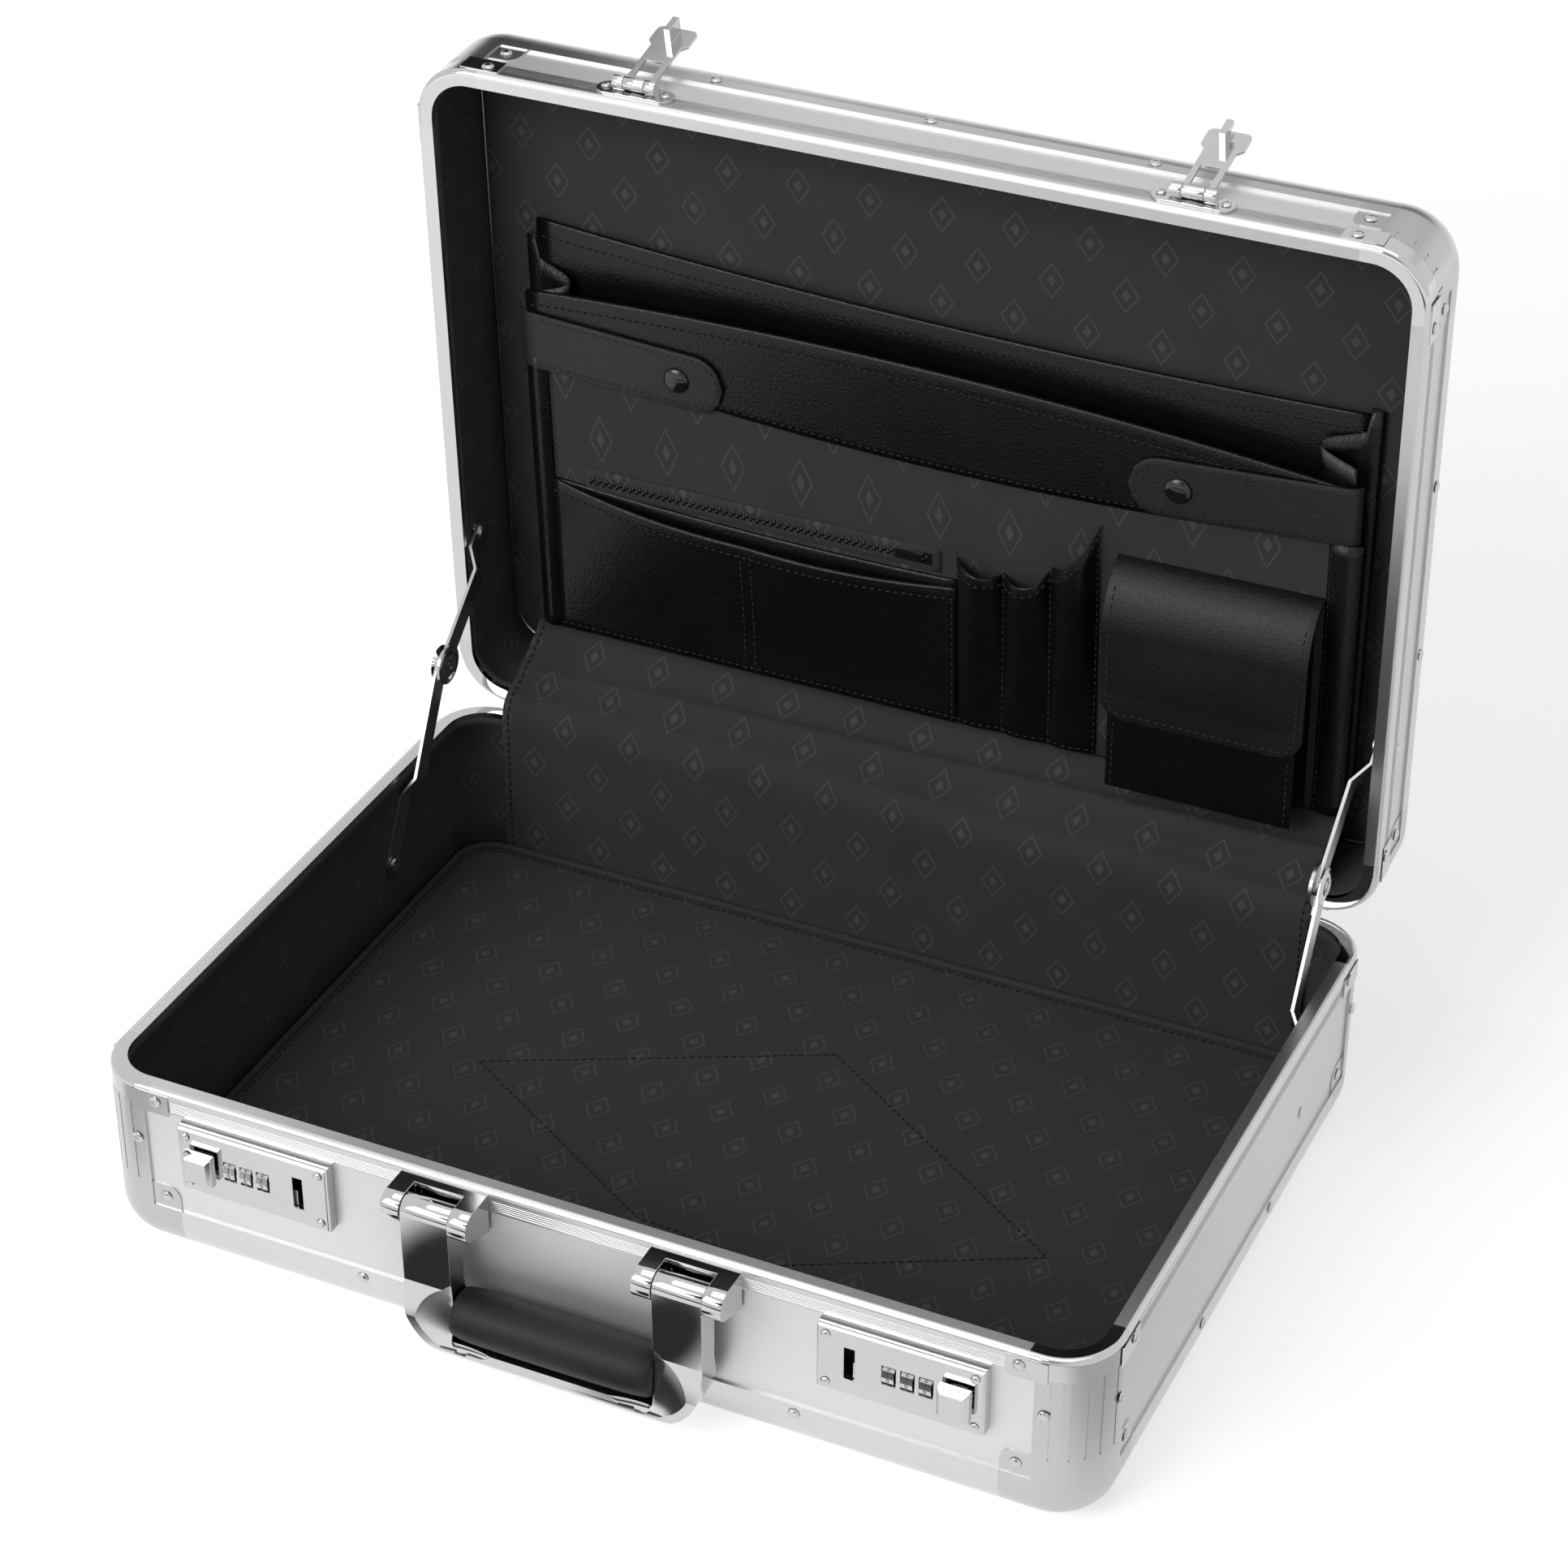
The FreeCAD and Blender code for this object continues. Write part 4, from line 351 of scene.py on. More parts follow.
def ease(names, width):
    """Breaks the sharp edges of CAD nodes with a small bevel that catches the light."""
    for name in names:
        weld(node[name])
        plain = node[name].modifiers.new("plain_faces", "DECIMATE")
        plain.decimate_type = "DISSOLVE"
        plain.angle_limit = math.radians(0.5)
        bevel(node[name], "ease", width, segments=2, angle=35.0)


ease(["handle_frame"], width=0.0009)
ease(["handle_brackets"], width=0.0005)
ease(LOCK_FITTINGS, width=0.0003)
for name in RIVETS:
    weld(node[name])
    dome = node[name].modifiers.new("dome", "SUBSURF")
    dome.levels = 1
    dome.render_levels = 1

# Works and stays: plain zinc-plated steel strip; the works sit behind the lock plates, and the stays
# are riveted to base and lid.
STEEL_PAIRS = ("latch_bolt", "lock_spring", "stay_lower", "stay_upper")
steel_finish, steel_coords = new_finish("plated_steel", Metallic=1.0)
grain = noise(steel_coords, 90.0, 3.0)
feed(steel_finish, Base_Color=grey(grain, 0.36, 0.46), Roughness=grain * 0.12 + 0.22)
coat(["lock_cases"] + [f"{kind}_{word}" for kind in STEEL_PAIRS for word in HANDS], steel_finish)

# Stay joints: a stamped, chromed rosette with a riveted middle on either face of each stay's joint.
# Its profile is radius and height.
ROSETTE = [(0.0, 0.0013), (0.0016, 0.0012), (0.0023, 0.0004), (0.0036, 0.0003), (0.0041, 0.0008),
           (0.0058, 0.0008), (0.0064, 0.0002), (0.0080, 0.0002), (0.0086, 0.0)]
JOINT_OUTSIDE = 0.2172
STAY_JOINT = (0.12545, 0.13327)
SAME_SPOT = 1e-6


def turned_shape(profile, steps):
    """A turned solid from its profile of radius and height, closed underneath."""
    made = bmesh.new()
    ring = [made.verts.new((radius, 0.0, height)) for radius, height in profile]
    edges = [made.edges.new(pair) for pair in zip(ring, ring[1:])]
    bmesh.ops.spin(made, geom=ring + edges, cent=(0.0, 0.0, 0.0), axis=(0.0, 0.0, 1.0), angle=math.tau,
                   steps=steps, use_merge=True)
    bmesh.ops.remove_doubles(made, verts=made.verts, dist=SAME_SPOT)
    bmesh.ops.holes_fill(made, edges=[edge for edge in made.edges if edge.is_boundary])
    bmesh.ops.recalc_face_normals(made, faces=made.faces)
    return made


def link_piece(name, shape, finish, body, replaced=()):
    """Makes an object of a finished bmesh, and lets it ride on a body."""
    made = new_object(name, shape, finish)
    made.data.polygons.foreach_set("use_smooth", [True] * len(made.data.polygons))
    if body:
        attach(made, body)
    if replaced:
        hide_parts(*replaced)
    return made


for word, side in HANDS.items():
    inner = min(abs(corner[0]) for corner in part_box("stay_upper_" + word))
    for part, reach, way in (("upper", inner, -side), ("lower", JOINT_OUTSIDE, side)):
        rosette = turned_shape(ROSETTE, steps=32)
        spot = Matrix.Translation((side * reach, *STAY_JOINT)) @ Matrix.Rotation(way * math.pi / 2, 4, "Y")
        bmesh.ops.transform(rosette, matrix=spot, verts=rosette.verts)
        link_piece(f"rosette_{part}_{word}", rosette, chrome_finish, f"stay_{part}_{word}")

# Linings: black woven cloth with small tone-on-tone lozenges, glued round the walls from the floor to
# the mouth's rails.
LOZENGE_PITCH = (0.034, 0.021)
LOZENGE_HALF = (0.0062, 0.0088)


def cloth_finish(name, dark, light):
    """Woven cloth on its own flat measure, with rows of small woven-in lozenges."""
    material, _ = new_finish(name, Specular_IOR_Level=0.25, Sheen_Weight=0.04, Sheen_Roughness=0.5)
    flat = flat_of(material)
    across = flat.node("ShaderNodeSeparateXYZ", None, {"Vector": flat}, 0)
    along = flat.node("ShaderNodeSeparateXYZ", None, {"Vector": flat}, 1)
    rows = along / LOZENGE_PITCH[1]
    odd = rows.math("FLOORED_MODULO", rows.math("FLOOR", rows), 2.0)
    columns = across / LOZENGE_PITCH[0] + odd * 0.5
    aside = columns.math("ABSOLUTE", columns.math("FRACT", columns) - 0.5)
    above = rows.math("ABSOLUTE", rows.math("FRACT", rows) - 0.5)
    reach = aside * (LOZENGE_PITCH[0] / LOZENGE_HALF[0]) + above * (LOZENGE_PITCH[1] / LOZENGE_HALF[1])
    rim = reach.math("LESS_THAN", reach, 1.0) * reach.math("GREATER_THAN", reach, 0.86)
    heart = reach.math("LESS_THAN", reach, 0.34)
    worn = noise(flat, 60.0, 3.0) * 0.5 + 0.45
    weft = noise(stretched(flat, (350.0, 2600.0, 1.0)), 1.0, 2.0)
    warp = noise(stretched(flat, (2600.0, 350.0, 1.0)), 1.0, 2.0)
    weave = weft + warp
    patch = noise(flat, 22.0, 3.0)
    shade = grey(patch * 0.6 + weave * 0.2, dark * 0.75, dark * 1.25)
    figured = mix((rim + heart) * worn, shade, (light, light, light, 1.0))
    feed(material, Base_Color=figured, Roughness=weave * 0.1 + 0.74, Normal=bump(weave, 0.5, 0.0003))
    return material


lining_finish = cloth_finish("black_lining", 0.036, 0.082)


def thicken(made, thickness, rounding=0.0):
    """Gives a sheet its thickness behind its face, and rounds its edges."""
    wall = made.modifiers.new("thickness", "SOLIDIFY")
    wall.thickness = thickness
    wall.offset = -1.0
    if rounding:
        bevel(made, "rounding", rounding, segments=2, angle=50.0)
    return made


HINGE = Vector((0.0, 0.166, 0.09))
MOUTH = HINGE.z
LID_OPEN = Matrix.Translation(HINGE) @ Matrix.Rotation(LID_TURN[0], 4, "X") @ Matrix.Translation(-HINGE)
IN_LID = LID_OPEN @ Matrix.Translation((0.0, 0.0, MOUTH)) @ Matrix.Rotation(math.pi, 4, "X")
IN_BASE = Matrix.Identity(4)
INSIDE_X = 0.2235
INSIDE_Y = 0.1585
INSIDE_ROUND = 0.0195


def rounded_board(inset, tighter):
    """One face with rounded corners on z = 0, stepped in from the walls' inside."""
    made = bmesh.new()
    bmesh.ops.create_grid(made, x_segments=1, y_segments=1, size=1.0)
    bmesh.ops.scale(made, verts=made.verts, vec=(INSIDE_X - inset, INSIDE_Y - inset, 1.0))
    bmesh.ops.bevel(made, geom=made.verts[:], affect="VERTICES", offset=INSIDE_ROUND - tighter, segments=8,
                    profile=0.5, material=-1)
    return made


def flat_measure(made):
    """Writes the flat measure of boards and walls: the two axes that a face lies along."""
    layer = made.loops.layers.uv.new("flat")
    for face in made.faces:
        lean = [abs(part) for part in face.normal]
        for loop in face.loops:
            spot = loop.vert.co
            if lean[2] > 0.7:
                loop[layer].uv = (spot.x, spot.y)
            else:
                loop[layer].uv = (spot.y if lean[0] > lean[1] else spot.x, spot.z)


def inside_line(inset, tighter, height):
    """Points round the walls' inside, stepped in from it, at one height."""
    outline = rounded_board(inset, tighter)
    points = [Vector((loop.vert.co.x, loop.vert.co.y, height)) for loop in outline.faces[:][0].loops]
    outline.free()
    return points


LIP_COVER = 0.0013
LIP_LEVEL = 0.0074
LIP_STEP = 0.0004
LINING_EDGE = 0.0032
LINING_THICK = 0.0008
WALL_ROWS = 4


def wall_cloth(name, low, mouth, place, body, node_name):
    """A strip of lining that runs round the four walls and over the inner lip of the mouth's rails."""
    under_lip = mouth - LIP_LEVEL
    levels = [(0.0, low + (under_lip - low) * row / WALL_ROWS) for row in range(WALL_ROWS + 1)]
    levels += [(LIP_COVER, under_lip + LIP_STEP), (LIP_COVER, mouth - LINING_EDGE)]
    made = bmesh.new()
    loops = []
    for inset, height in levels:
        loops.append([made.verts.new(point) for point in inside_line(inset, inset, height)])
    for lower, upper in zip(loops, loops[1:]):
        for here, there in zip(range(len(lower)), [*range(1, len(lower)), 0]):
            made.faces.new((lower[there], lower[here], upper[here], upper[there]))
    made.normal_update()
    flat_measure(made)
    run = sum((a.co - b.co).length for a, b in zip(loops[0], loops[0][1:] + loops[0][:1]))
    bmesh.ops.transform(made, matrix=place, verts=made.verts)
    strip = link_piece(name, made, lining_finish, body, [node_name])
    thicken(strip, LINING_THICK)


FLOOR = 0.014
LID_FACE = -0.046
TUCK = 0.001
wall_cloth("base_lining", FLOOR - TUCK, MOUTH, IN_BASE, "base", "base_wall_lining")
wall_cloth("lid_lining", LID_FACE - TUCK, 0.0, IN_LID, "lid", "lid_wall_lining")

# Padded boards: thin foam boards covered with the lining, pressed into the floor and into the lid,
# crowned a little, with a soft roll of lining round the floor's edge.
BOARD_GAP = 0.0002
BOARD_DEPTH = 0.0028
BOARD_SHOULDER = 0.0012
BOARD_CROWN = 0.0006
BOARD_RINGS = ((0.0012, 0.0009), (0.003, 0.0003), (0.011, BOARD_CROWN))


def padded_board(name, face_level, place, body, node_name):
    """A board that rises to its face in rings, each with an inset and a lift."""
    made = rounded_board(BOARD_GAP, 0.0)
    bmesh.ops.translate(made, verts=made.verts, vec=(0.0, 0.0, face_level - BOARD_DEPTH))
    raised = bmesh.ops.extrude_face_region(made, geom=made.faces[:])["geom"]
    bmesh.ops.translate(made, verts=[part for part in raised if isinstance(part, bmesh.types.BMVert)],
                        vec=(0.0, 0.0, BOARD_DEPTH - BOARD_SHOULDER - BOARD_CROWN))
    top = [part for part in raised if isinstance(part, bmesh.types.BMFace)]
    for inset, lift in BOARD_RINGS:
        bmesh.ops.inset_individual(made, faces=top, thickness=inset, depth=lift)
    bmesh.ops.recalc_face_normals(made, faces=made.faces)
    made.normal_update()
    flat_measure(made)
    bmesh.ops.transform(made, matrix=place, verts=made.verts)
    board = link_piece(name, made, lining_finish, body, [node_name])


padded_board("floor_board", FLOOR, IN_BASE, "base", "base_floor_pad")
padded_board("lid_board", LID_FACE, IN_LID, "lid", "lid_top_pad")


def thread(name, dark, light):
    """Matt sewing thread of one shade."""
    material, coords = new_finish(name, Specular_IOR_Level=0.2)
    feed(material, Base_Color=grey(noise(coords, 700.0), dark, light),
         Roughness=noise(coords, 400.0) * 0.2 + 0.6)
    return material


black_thread = thread("black_thread", 0.002, 0.005)
STITCH = Vector((0.00145, 0.00038, 0.00028))
STITCH_PITCH = 0.0038


def sew(name, seams, finish, body, place=IN_BASE, out=(0.0, 0.0, 1.0)):
    """Rows of short stitches along lines of points."""
    made = bmesh.new()
    for seam in seams:
        rest = STITCH_PITCH / 2
        for start, end in zip(seam, seam[1:]):
            run = (end - start).length
            if run < SAME_SPOT:
                continue
            way = (end - start) / run
            lift = (Vector(out) - way * way.dot(Vector(out))).normalized()
            side = lift.cross(way)
            while rest < run:
                spot = start + way * rest
                turn = Matrix((way * STITCH.x, side * STITCH.y, lift * STITCH.z)).transposed().to_4x4()
                bmesh.ops.create_icosphere(made, subdivisions=1, radius=1.0,
                                           matrix=place @ Matrix.Translation(spot) @ turn)
                rest += STITCH_PITCH
            rest -= run
    return link_piece(name, made, finish, body)


def mesh_of(curve):
    """The mesh that a curve or a figure gives."""
    holder = bpy.data.objects.new("curve_holder", curve)
    bpy.context.scene.collection.objects.link(holder)
    graph = bpy.context.evaluated_depsgraph_get()
    mesh = bpy.data.meshes.new_from_object(holder.evaluated_get(graph))
    bpy.data.objects.remove(holder)
    return mesh


WELT = 0.0017
WELT_IN = 0.0028
WELT_TIGHTER = 0.002
WELT_LEVEL = FLOOR + 0.0006
welt_curve = bpy.data.curves.new("floor_welt", "CURVE")
welt_curve.dimensions = "3D"
welt_curve.bevel_depth = WELT
welt_curve.bevel_resolution = 3
welt_line = welt_curve.splines.new("POLY")
welt_points = inside_line(WELT_IN, WELT_TIGHTER, WELT_LEVEL)
welt_line.points.add(len(welt_points) - 1)
welt_line.points.foreach_set("co", [part for point in welt_points for part in (*point, 1.0)])
welt_line.use_cyclic_u = True
welt = bmesh.new()
welt.from_mesh(mesh_of(welt_curve))
bmesh.ops.remove_doubles(welt, verts=welt.verts, dist=SAME_SPOT)
welt.normal_update()
flat_measure(welt)
welt_roll = link_piece("floor_welt", welt, lining_finish, "base")
PANEL_SEAM = [(-0.1326, -0.0027), (0.0123, 0.0708), (0.1529, -0.0220), (0.0487, -0.0770),
              (-0.0175, -0.0720)]
PANEL_LEVEL = FLOOR + 0.0002
RIM_IN = 0.0062
RIM_TIGHTER = 0.004
RIM_LEVEL = FLOOR - 0.0002
panel_points = [Vector((x, y, PANEL_LEVEL)) for x, y in PANEL_SEAM]
edge_points = inside_line(RIM_IN, RIM_TIGHTER, RIM_LEVEL)
sew("floor_stitches", [points + points[:1] for points in (edge_points, panel_points)], black_thread, "base")


# Hinge apron: one length of lining from the floor's back edge up the wall, over the hinge line and on
# to the foot of the lid's pockets, with soft creases where the lid folds it.
def bent(shape, columns, rows, flat):
    """A grid of cloth put in place by shape(u, t), with its flat measure kept."""
    made = bmesh.new()
    bmesh.ops.create_grid(made, x_segments=columns, y_segments=rows, size=0.5)
    layer = made.loops.layers.uv.new("flat")
    for face in made.faces:
        for loop in face.loops:
            loop[layer].uv = ((loop.vert.co.x + 0.5) * flat[0], (loop.vert.co.y + 0.5) * flat[1])
    for vert in made.verts:
        vert.co = shape(vert.co.x + 0.5, vert.co.y + 0.5)
    return made


APRON_WIDTH = 0.4056
APRON_COLUMNS = 90
APRON_ROWS = 60
THIN = 0.0007
APRON_POINTS = 40
HINGE_SHARE = 0.70
FOLD_HEIGHT = 0.0028
CREASE_DEPTH = 0.0008
RIPPLES = ((0.0008, 34.0, 5.0, 0.0), (0.0005, 71.0, -11.0, 1.0))
APRON_SEAMS = (0.008, 0.992)
APRON_KNOTS = [((0.1562, 0.0160), (0.1562, 0.0400), (0.1562, 0.0600), (0.1562, 0.0840)),
               ((0.1562, 0.0840), (0.1562, 0.0920), (0.1590, 0.0990), (0.1660, 0.1015)),
               ((0.1660, 0.1015), (0.1745, 0.1045), (0.1900, 0.1140), (0.1985, 0.1222))]
apron_line = []
for knots in APRON_KNOTS:
    span = interpolate_bezier(*[Vector((0.0, y, z)) for y, z in knots], APRON_POINTS)
    apron_line += span[1:] if apron_line else span
apron_runs = [0.0]
for start, end in zip(apron_line, apron_line[1:]):
    apron_runs.append(apron_runs[-1] + (end - start).length)
apron_length = apron_runs[-1]


def hump(t, middle, width):
    """A smooth hump of height 1."""
    return math.exp(-((t - middle) / width) ** 2)


def apron_at(u, t):
    """Place on the apron, with a slack ripple that grows towards the folds."""
    after = min(bisect.bisect_left(apron_runs, t * apron_length), len(apron_runs) - 1) or 1
    share = (t * apron_length - apron_runs[after - 1]) / (apron_runs[after] - apron_runs[after - 1])
    spot = apron_line[after - 1].lerp(apron_line[after], share)
    x = (u - 0.5) * APRON_WIDTH
    slack = hump(t, HINGE_SHARE, 0.13)
    ripple = sum(size * math.sin(wide * x + high * t + start) for size, wide, high, start in RIPPLES)
    fold = FOLD_HEIGHT * hump(t, 0.79 + 0.06 * u, 0.022) - CREASE_DEPTH * hump(t, HINGE_SHARE, 0.03)
    dent = slack * ripple + fold * (0.6 + 0.4 * math.sin(9.0 * x + 1.0))
    return Vector((x, spot.y - 0.4 * dent, spot.z + dent))


apron = bent(apron_at, APRON_COLUMNS, APRON_ROWS, (APRON_WIDTH, apron_length))
hinge_cloth = link_piece("hinge_cloth", apron, lining_finish, None, ["hinge_apron"])
thicken(hinge_cloth, THIN)
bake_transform(hinge_cloth)
PROUD = Vector((0.0, -0.0003, 0.0003))
apron_seams = [[apron_at(u, row / APRON_ROWS) + PROUD for row in range(APRON_ROWS + 1)]
               for u in APRON_SEAMS]
apron_sides = sew("hinge_cloth_stitches", apron_seams, black_thread, None,
                  out=(0.0, -0.7, 0.7))
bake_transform(apron_sides)


# File pocket: a divider and a front panel of black leatherette and lining, with rolled top edges, joined
# at both sides by folded gussets.
def leather(name, dark, light, rough):
    """Pebbled leatherette of one shade."""
    material, coords = new_finish(name, Specular_IOR_Level=0.3)
    pebble = coords.node("ShaderNodeTexVoronoi", {"feature": "SMOOTH_F1"},
                         {"Vector": coords, "Scale": 850.0, "Smoothness": 0.6})
    blotch = noise(coords, 35.0, 3.0)
    feed(material, Base_Color=grey(blotch, dark, light), Roughness=pebble * 0.12 + blotch * 0.08 + rough,
         Normal=bump(pebble, 0.30, 0.0004))
    return material


leather_finish = leather("black_leatherette", 0.002, 0.004, 0.26)
ORGANISER_HALF = 0.197
ORGANISER_ENDS = (-ORGANISER_HALF, ORGANISER_HALF)
ORGANISER_FOOT = -0.134
FRONT_FACE = -0.0318
DIVIDER_FACE = -0.0422


def leaning(x, v, face, height, lean, bow):
    """Place on a panel that leans out of the lid and bows towards its middle; v is the way up it."""
    rise = max(0.0, (v - ORGANISER_FOOT) / height) ** 1.5
    return Vector((x, v, face + rise * (lean + bow * (1.0 - (x / ORGANISER_HALF) ** 2))))


def front_at(x, v, off=0.0):
    return leaning(x, v, FRONT_FACE + off, height=0.18, lean=0.0025, bow=0.0035)


def divider_at(x, v, off=0.0):
    return leaning(x, v, DIVIDER_FACE + off, height=0.2, lean=0.0, bow=0.0022)


def on_front(x, v, off):
    """Place on the front panel, or beside it at the depth of its nearer edge."""
    spot = front_at(max(-ORGANISER_HALF, min(ORGANISER_HALF, x)), v, off)
    return Vector((x, v, spot.z))


def front_top(x):
    """Height of the front panel's top edge, which falls away to both sides."""
    return 0.0500 - 0.0305 * x - 0.283 * x * x


def band_foot(x):
    """Height of the lower edge of the leather band, which sags in the middle."""
    return 0.0010 - 0.018 * x + 0.270 * x * x


def divider_top(x):
    """Height of the divider's top edge, which sags a little."""
    return 0.0640 - 0.030 * x + 0.12 * x * x


LEATHER = 0.0008
ROLL = 0.0012
TURN_ROWS = 6


def turned_over(spot, share, radius):
    """A point of a top edge, rolled over to the back by a share of half a turn."""
    turn = math.pi * share
    return spot + Vector((0.0, radius * math.sin(turn), radius * (math.cos(turn) - 1.0)))


def rolled(surface, left, right, foot, top, rows, off):
    """The shape of a panel whose top edge is turned over to its back in a small roll."""
    def shape(u, t):
        x = left + (right - left) * u
        row = t * (rows + TURN_ROWS)
        if row <= rows + 1e-6:
            return surface(x, foot(x) + (top(x) - foot(x)) * row / rows, off)
        return turned_over(surface(x, top(x), off), (row - rows) / TURN_ROWS, ROLL)
    return shape


def lid_sheet(name, made, finish, thickness, replaced=(), rounding=0.0, body="lid"):
    """A sheet shaped in the lid's own frame, put in place and given its thickness."""
    bmesh.ops.transform(made, matrix=IN_LID, verts=made.verts)
    return thicken(link_piece(name, made, finish, body, replaced), thickness, rounding)


def leather_panel(name, surface, ends, foot, top, off, replaced=(), columns=48, rows=12,
                  finish=leather_finish):
    """A panel between two ends, from its foot to its rolled top edge."""
    left, right = ends
    made = bent(rolled(surface, left, right, foot, top, rows, off), columns, rows + TURN_ROWS,
                (right - left, abs(top(0.0) - foot(0.0))))
    panel = lid_sheet(name, made, finish, LEATHER, replaced)
    middle = (left + right) / 2
    right - left
    top(middle) - foot(middle) + math.pi * ROLL


def level(height):
    return lambda x: height


def below(height, drop):
    return lambda x: height(x) - drop


def shares(steps):
    """Numbers from 0 to 1 in equal steps."""
    return [step / steps for step in range(steps + 1)]


def along(surface, height, ends, off):
    """A seam across a surface."""
    places = [ends[0] + (ends[1] - ends[0]) * share for share in shares(40)]
    return [surface(x, height(x), off) for x in places]


def upright(surface, x, low, high, off):
    """A seam up a surface."""
    return [surface(x, low + (high - low) * share, off) for share in shares(20)]


BAND_OFF = 0.0012
EDGE = 0.0004
SEAM_ENDS = (-0.195, 0.195)
leather_panel("divider_panel", divider_at, ORGANISER_ENDS, level(ORGANISER_FOOT), divider_top, 0.0,
              ["organiser_divider"])
leather_panel("front_cloth", front_at, ORGANISER_ENDS, level(ORGANISER_FOOT), below(front_top, drop=0.002),
              0.0, ["organiser_front"], finish=lining_finish)
leather_panel("front_band", front_at, ORGANISER_ENDS, band_foot, front_top, BAND_OFF)
organiser_seams = [along(divider_at, below(divider_top, drop=0.007), SEAM_ENDS, EDGE),
                   along(front_at, below(front_top, drop=0.006), SEAM_ENDS, BAND_OFF + EDGE),
                   along(front_at, below(band_foot, drop=-0.0028), SEAM_ENDS, BAND_OFF + EDGE)]


def binding(name, middle, half, swell, high):
    """A rolled leather binding down one side of the front panel."""
    def shape(u, t):
        spot = on_front(middle + half * (2.0 * u - 1.0), ORGANISER_FOOT + (high - ORGANISER_FOOT) * t, 0.0)
        return spot + Vector((0.0, 0.0, 0.0006 + swell * math.sin(math.pi * u)))
    made = bent(shape, 12, 24, (2 * half, high - ORGANISER_FOOT))
    strip = lid_sheet(name, made, leather_finish, LEATHER)


binding("binding_left", middle=-0.1935, half=0.0055, swell=0.0028, high=0.013)
binding("binding_right", middle=0.1955, half=0.0080, swell=0.0030, high=0.008)
organiser_seams += [upright(front_at, -0.1872, ORGANISER_FOOT, high=0.012, off=0.0010),
                    upright(front_at, 0.1889, ORGANISER_FOOT, high=0.006, off=0.0018)]
GUSSET_SPLIT = 0.7
GUSSET_BACK = -0.0418
GUSSET_HEIGHTS = (0.190, 0.200)
GUSSET_FOLD = 0.0185
GUSSET_FALL = 0.012
GUSSET_BULGE = 0.006


def gusset_at(side):
    """A side gusset, folded in once between the panels and out once behind the divider."""
    def shape(u, t):
        if u < GUSSET_SPLIT:
            s = u / GUSSET_SPLIT
            v = ORGANISER_FOOT + GUSSET_HEIGHTS[0] * t
            x = ORGANISER_HALF - GUSSET_FOLD * t * math.sin(math.pi * s) ** 1.3
            near = front_at(ORGANISER_HALF, min(v, 0.036)).z
            w = near - 0.0006 + (GUSSET_BACK - near) * s
            v -= GUSSET_FALL * t * (1.0 - s)
        else:
            s = (u - GUSSET_SPLIT) / (1.0 - GUSSET_SPLIT)
            v = ORGANISER_FOOT + GUSSET_HEIGHTS[1] * t
            x = ORGANISER_HALF + GUSSET_BULGE * math.sin(math.pi * s)
            w = GUSSET_BACK - 0.0035 * s
        return Vector((side * x, v, w))
    return shape


for word, side in HANDS.items():
    made = bent(gusset_at(side), 28, 24, (0.05, 0.19))
    if side < 0:
        bmesh.ops.reverse_faces(made, faces=made.faces)
    fold = lid_sheet("gusset_" + word, made, leather_finish, THIN,
                     ["organiser_gussets"] if side < 0 else ())

FOOT_BACK = -0.0450
FOOT_DEPTH = 0.0132
FOOT_LEVEL = ORGANISER_FOOT - 0.0006


def foot_strip(u, t):
    """The strip that closes the pocket underneath."""
    return Vector(((u - 0.5) * 2 * ORGANISER_HALF, FOOT_LEVEL, FOOT_BACK + FOOT_DEPTH * t))


made = bent(foot_strip, 8, 3, (2 * ORGANISER_HALF, FOOT_DEPTH))
strip = lid_sheet("organiser_foot", made, leather_finish, LEATHER)

# Straps: two leather tongues sewn to the sides of the front panel, each closed by a press stud with a
# black lacquered cap.
# The straps are the panels' leatherette with a rougher, more matte face; their colour is painted lighter
# than the panels' to stand in for the light that falls on them.
strap_painted_light_finish = leather("strap_leatherette_painted_lighter", 0.014, 0.020, 0.36)
STRAP_END = 0.097
STRAP_ROOT = ORGANISER_HALF + 0.004
STRAP_HALF = 0.0142
STRAP_FLAT = (0.104, 2 * STRAP_HALF)
STRAP_THICK = 0.0015
STRAP_OFF = 0.0033
STRAP_SEAM_OFF = 0.0035
SEAM_STEP = 0.008


def strap_line(x):
    """Height of a strap's middle line, which rises to the side."""
    return 0.0175 + 0.045 * (abs(x) - STRAP_END)


def strap_at(side):
    """A tongue with a round end, which bends back round the panel's side."""
    def shape(u, t):
        reach = STRAP_ROOT - (STRAP_ROOT - STRAP_END) * u
        tip = reach - STRAP_END
        half = STRAP_HALF
        if tip < STRAP_HALF:
            half = math.sqrt(max(0.0, STRAP_HALF ** 2 - (STRAP_HALF - tip) ** 2))
        x = side * reach
        spot = on_front(x, strap_line(x) + (2.0 * t - 1.0) * half, STRAP_OFF)
        drop = max(0.0, reach - ORGANISER_HALF + 0.003)
        return spot - Vector((0.0, 0.0, 60.0 * drop * drop))
    return shape


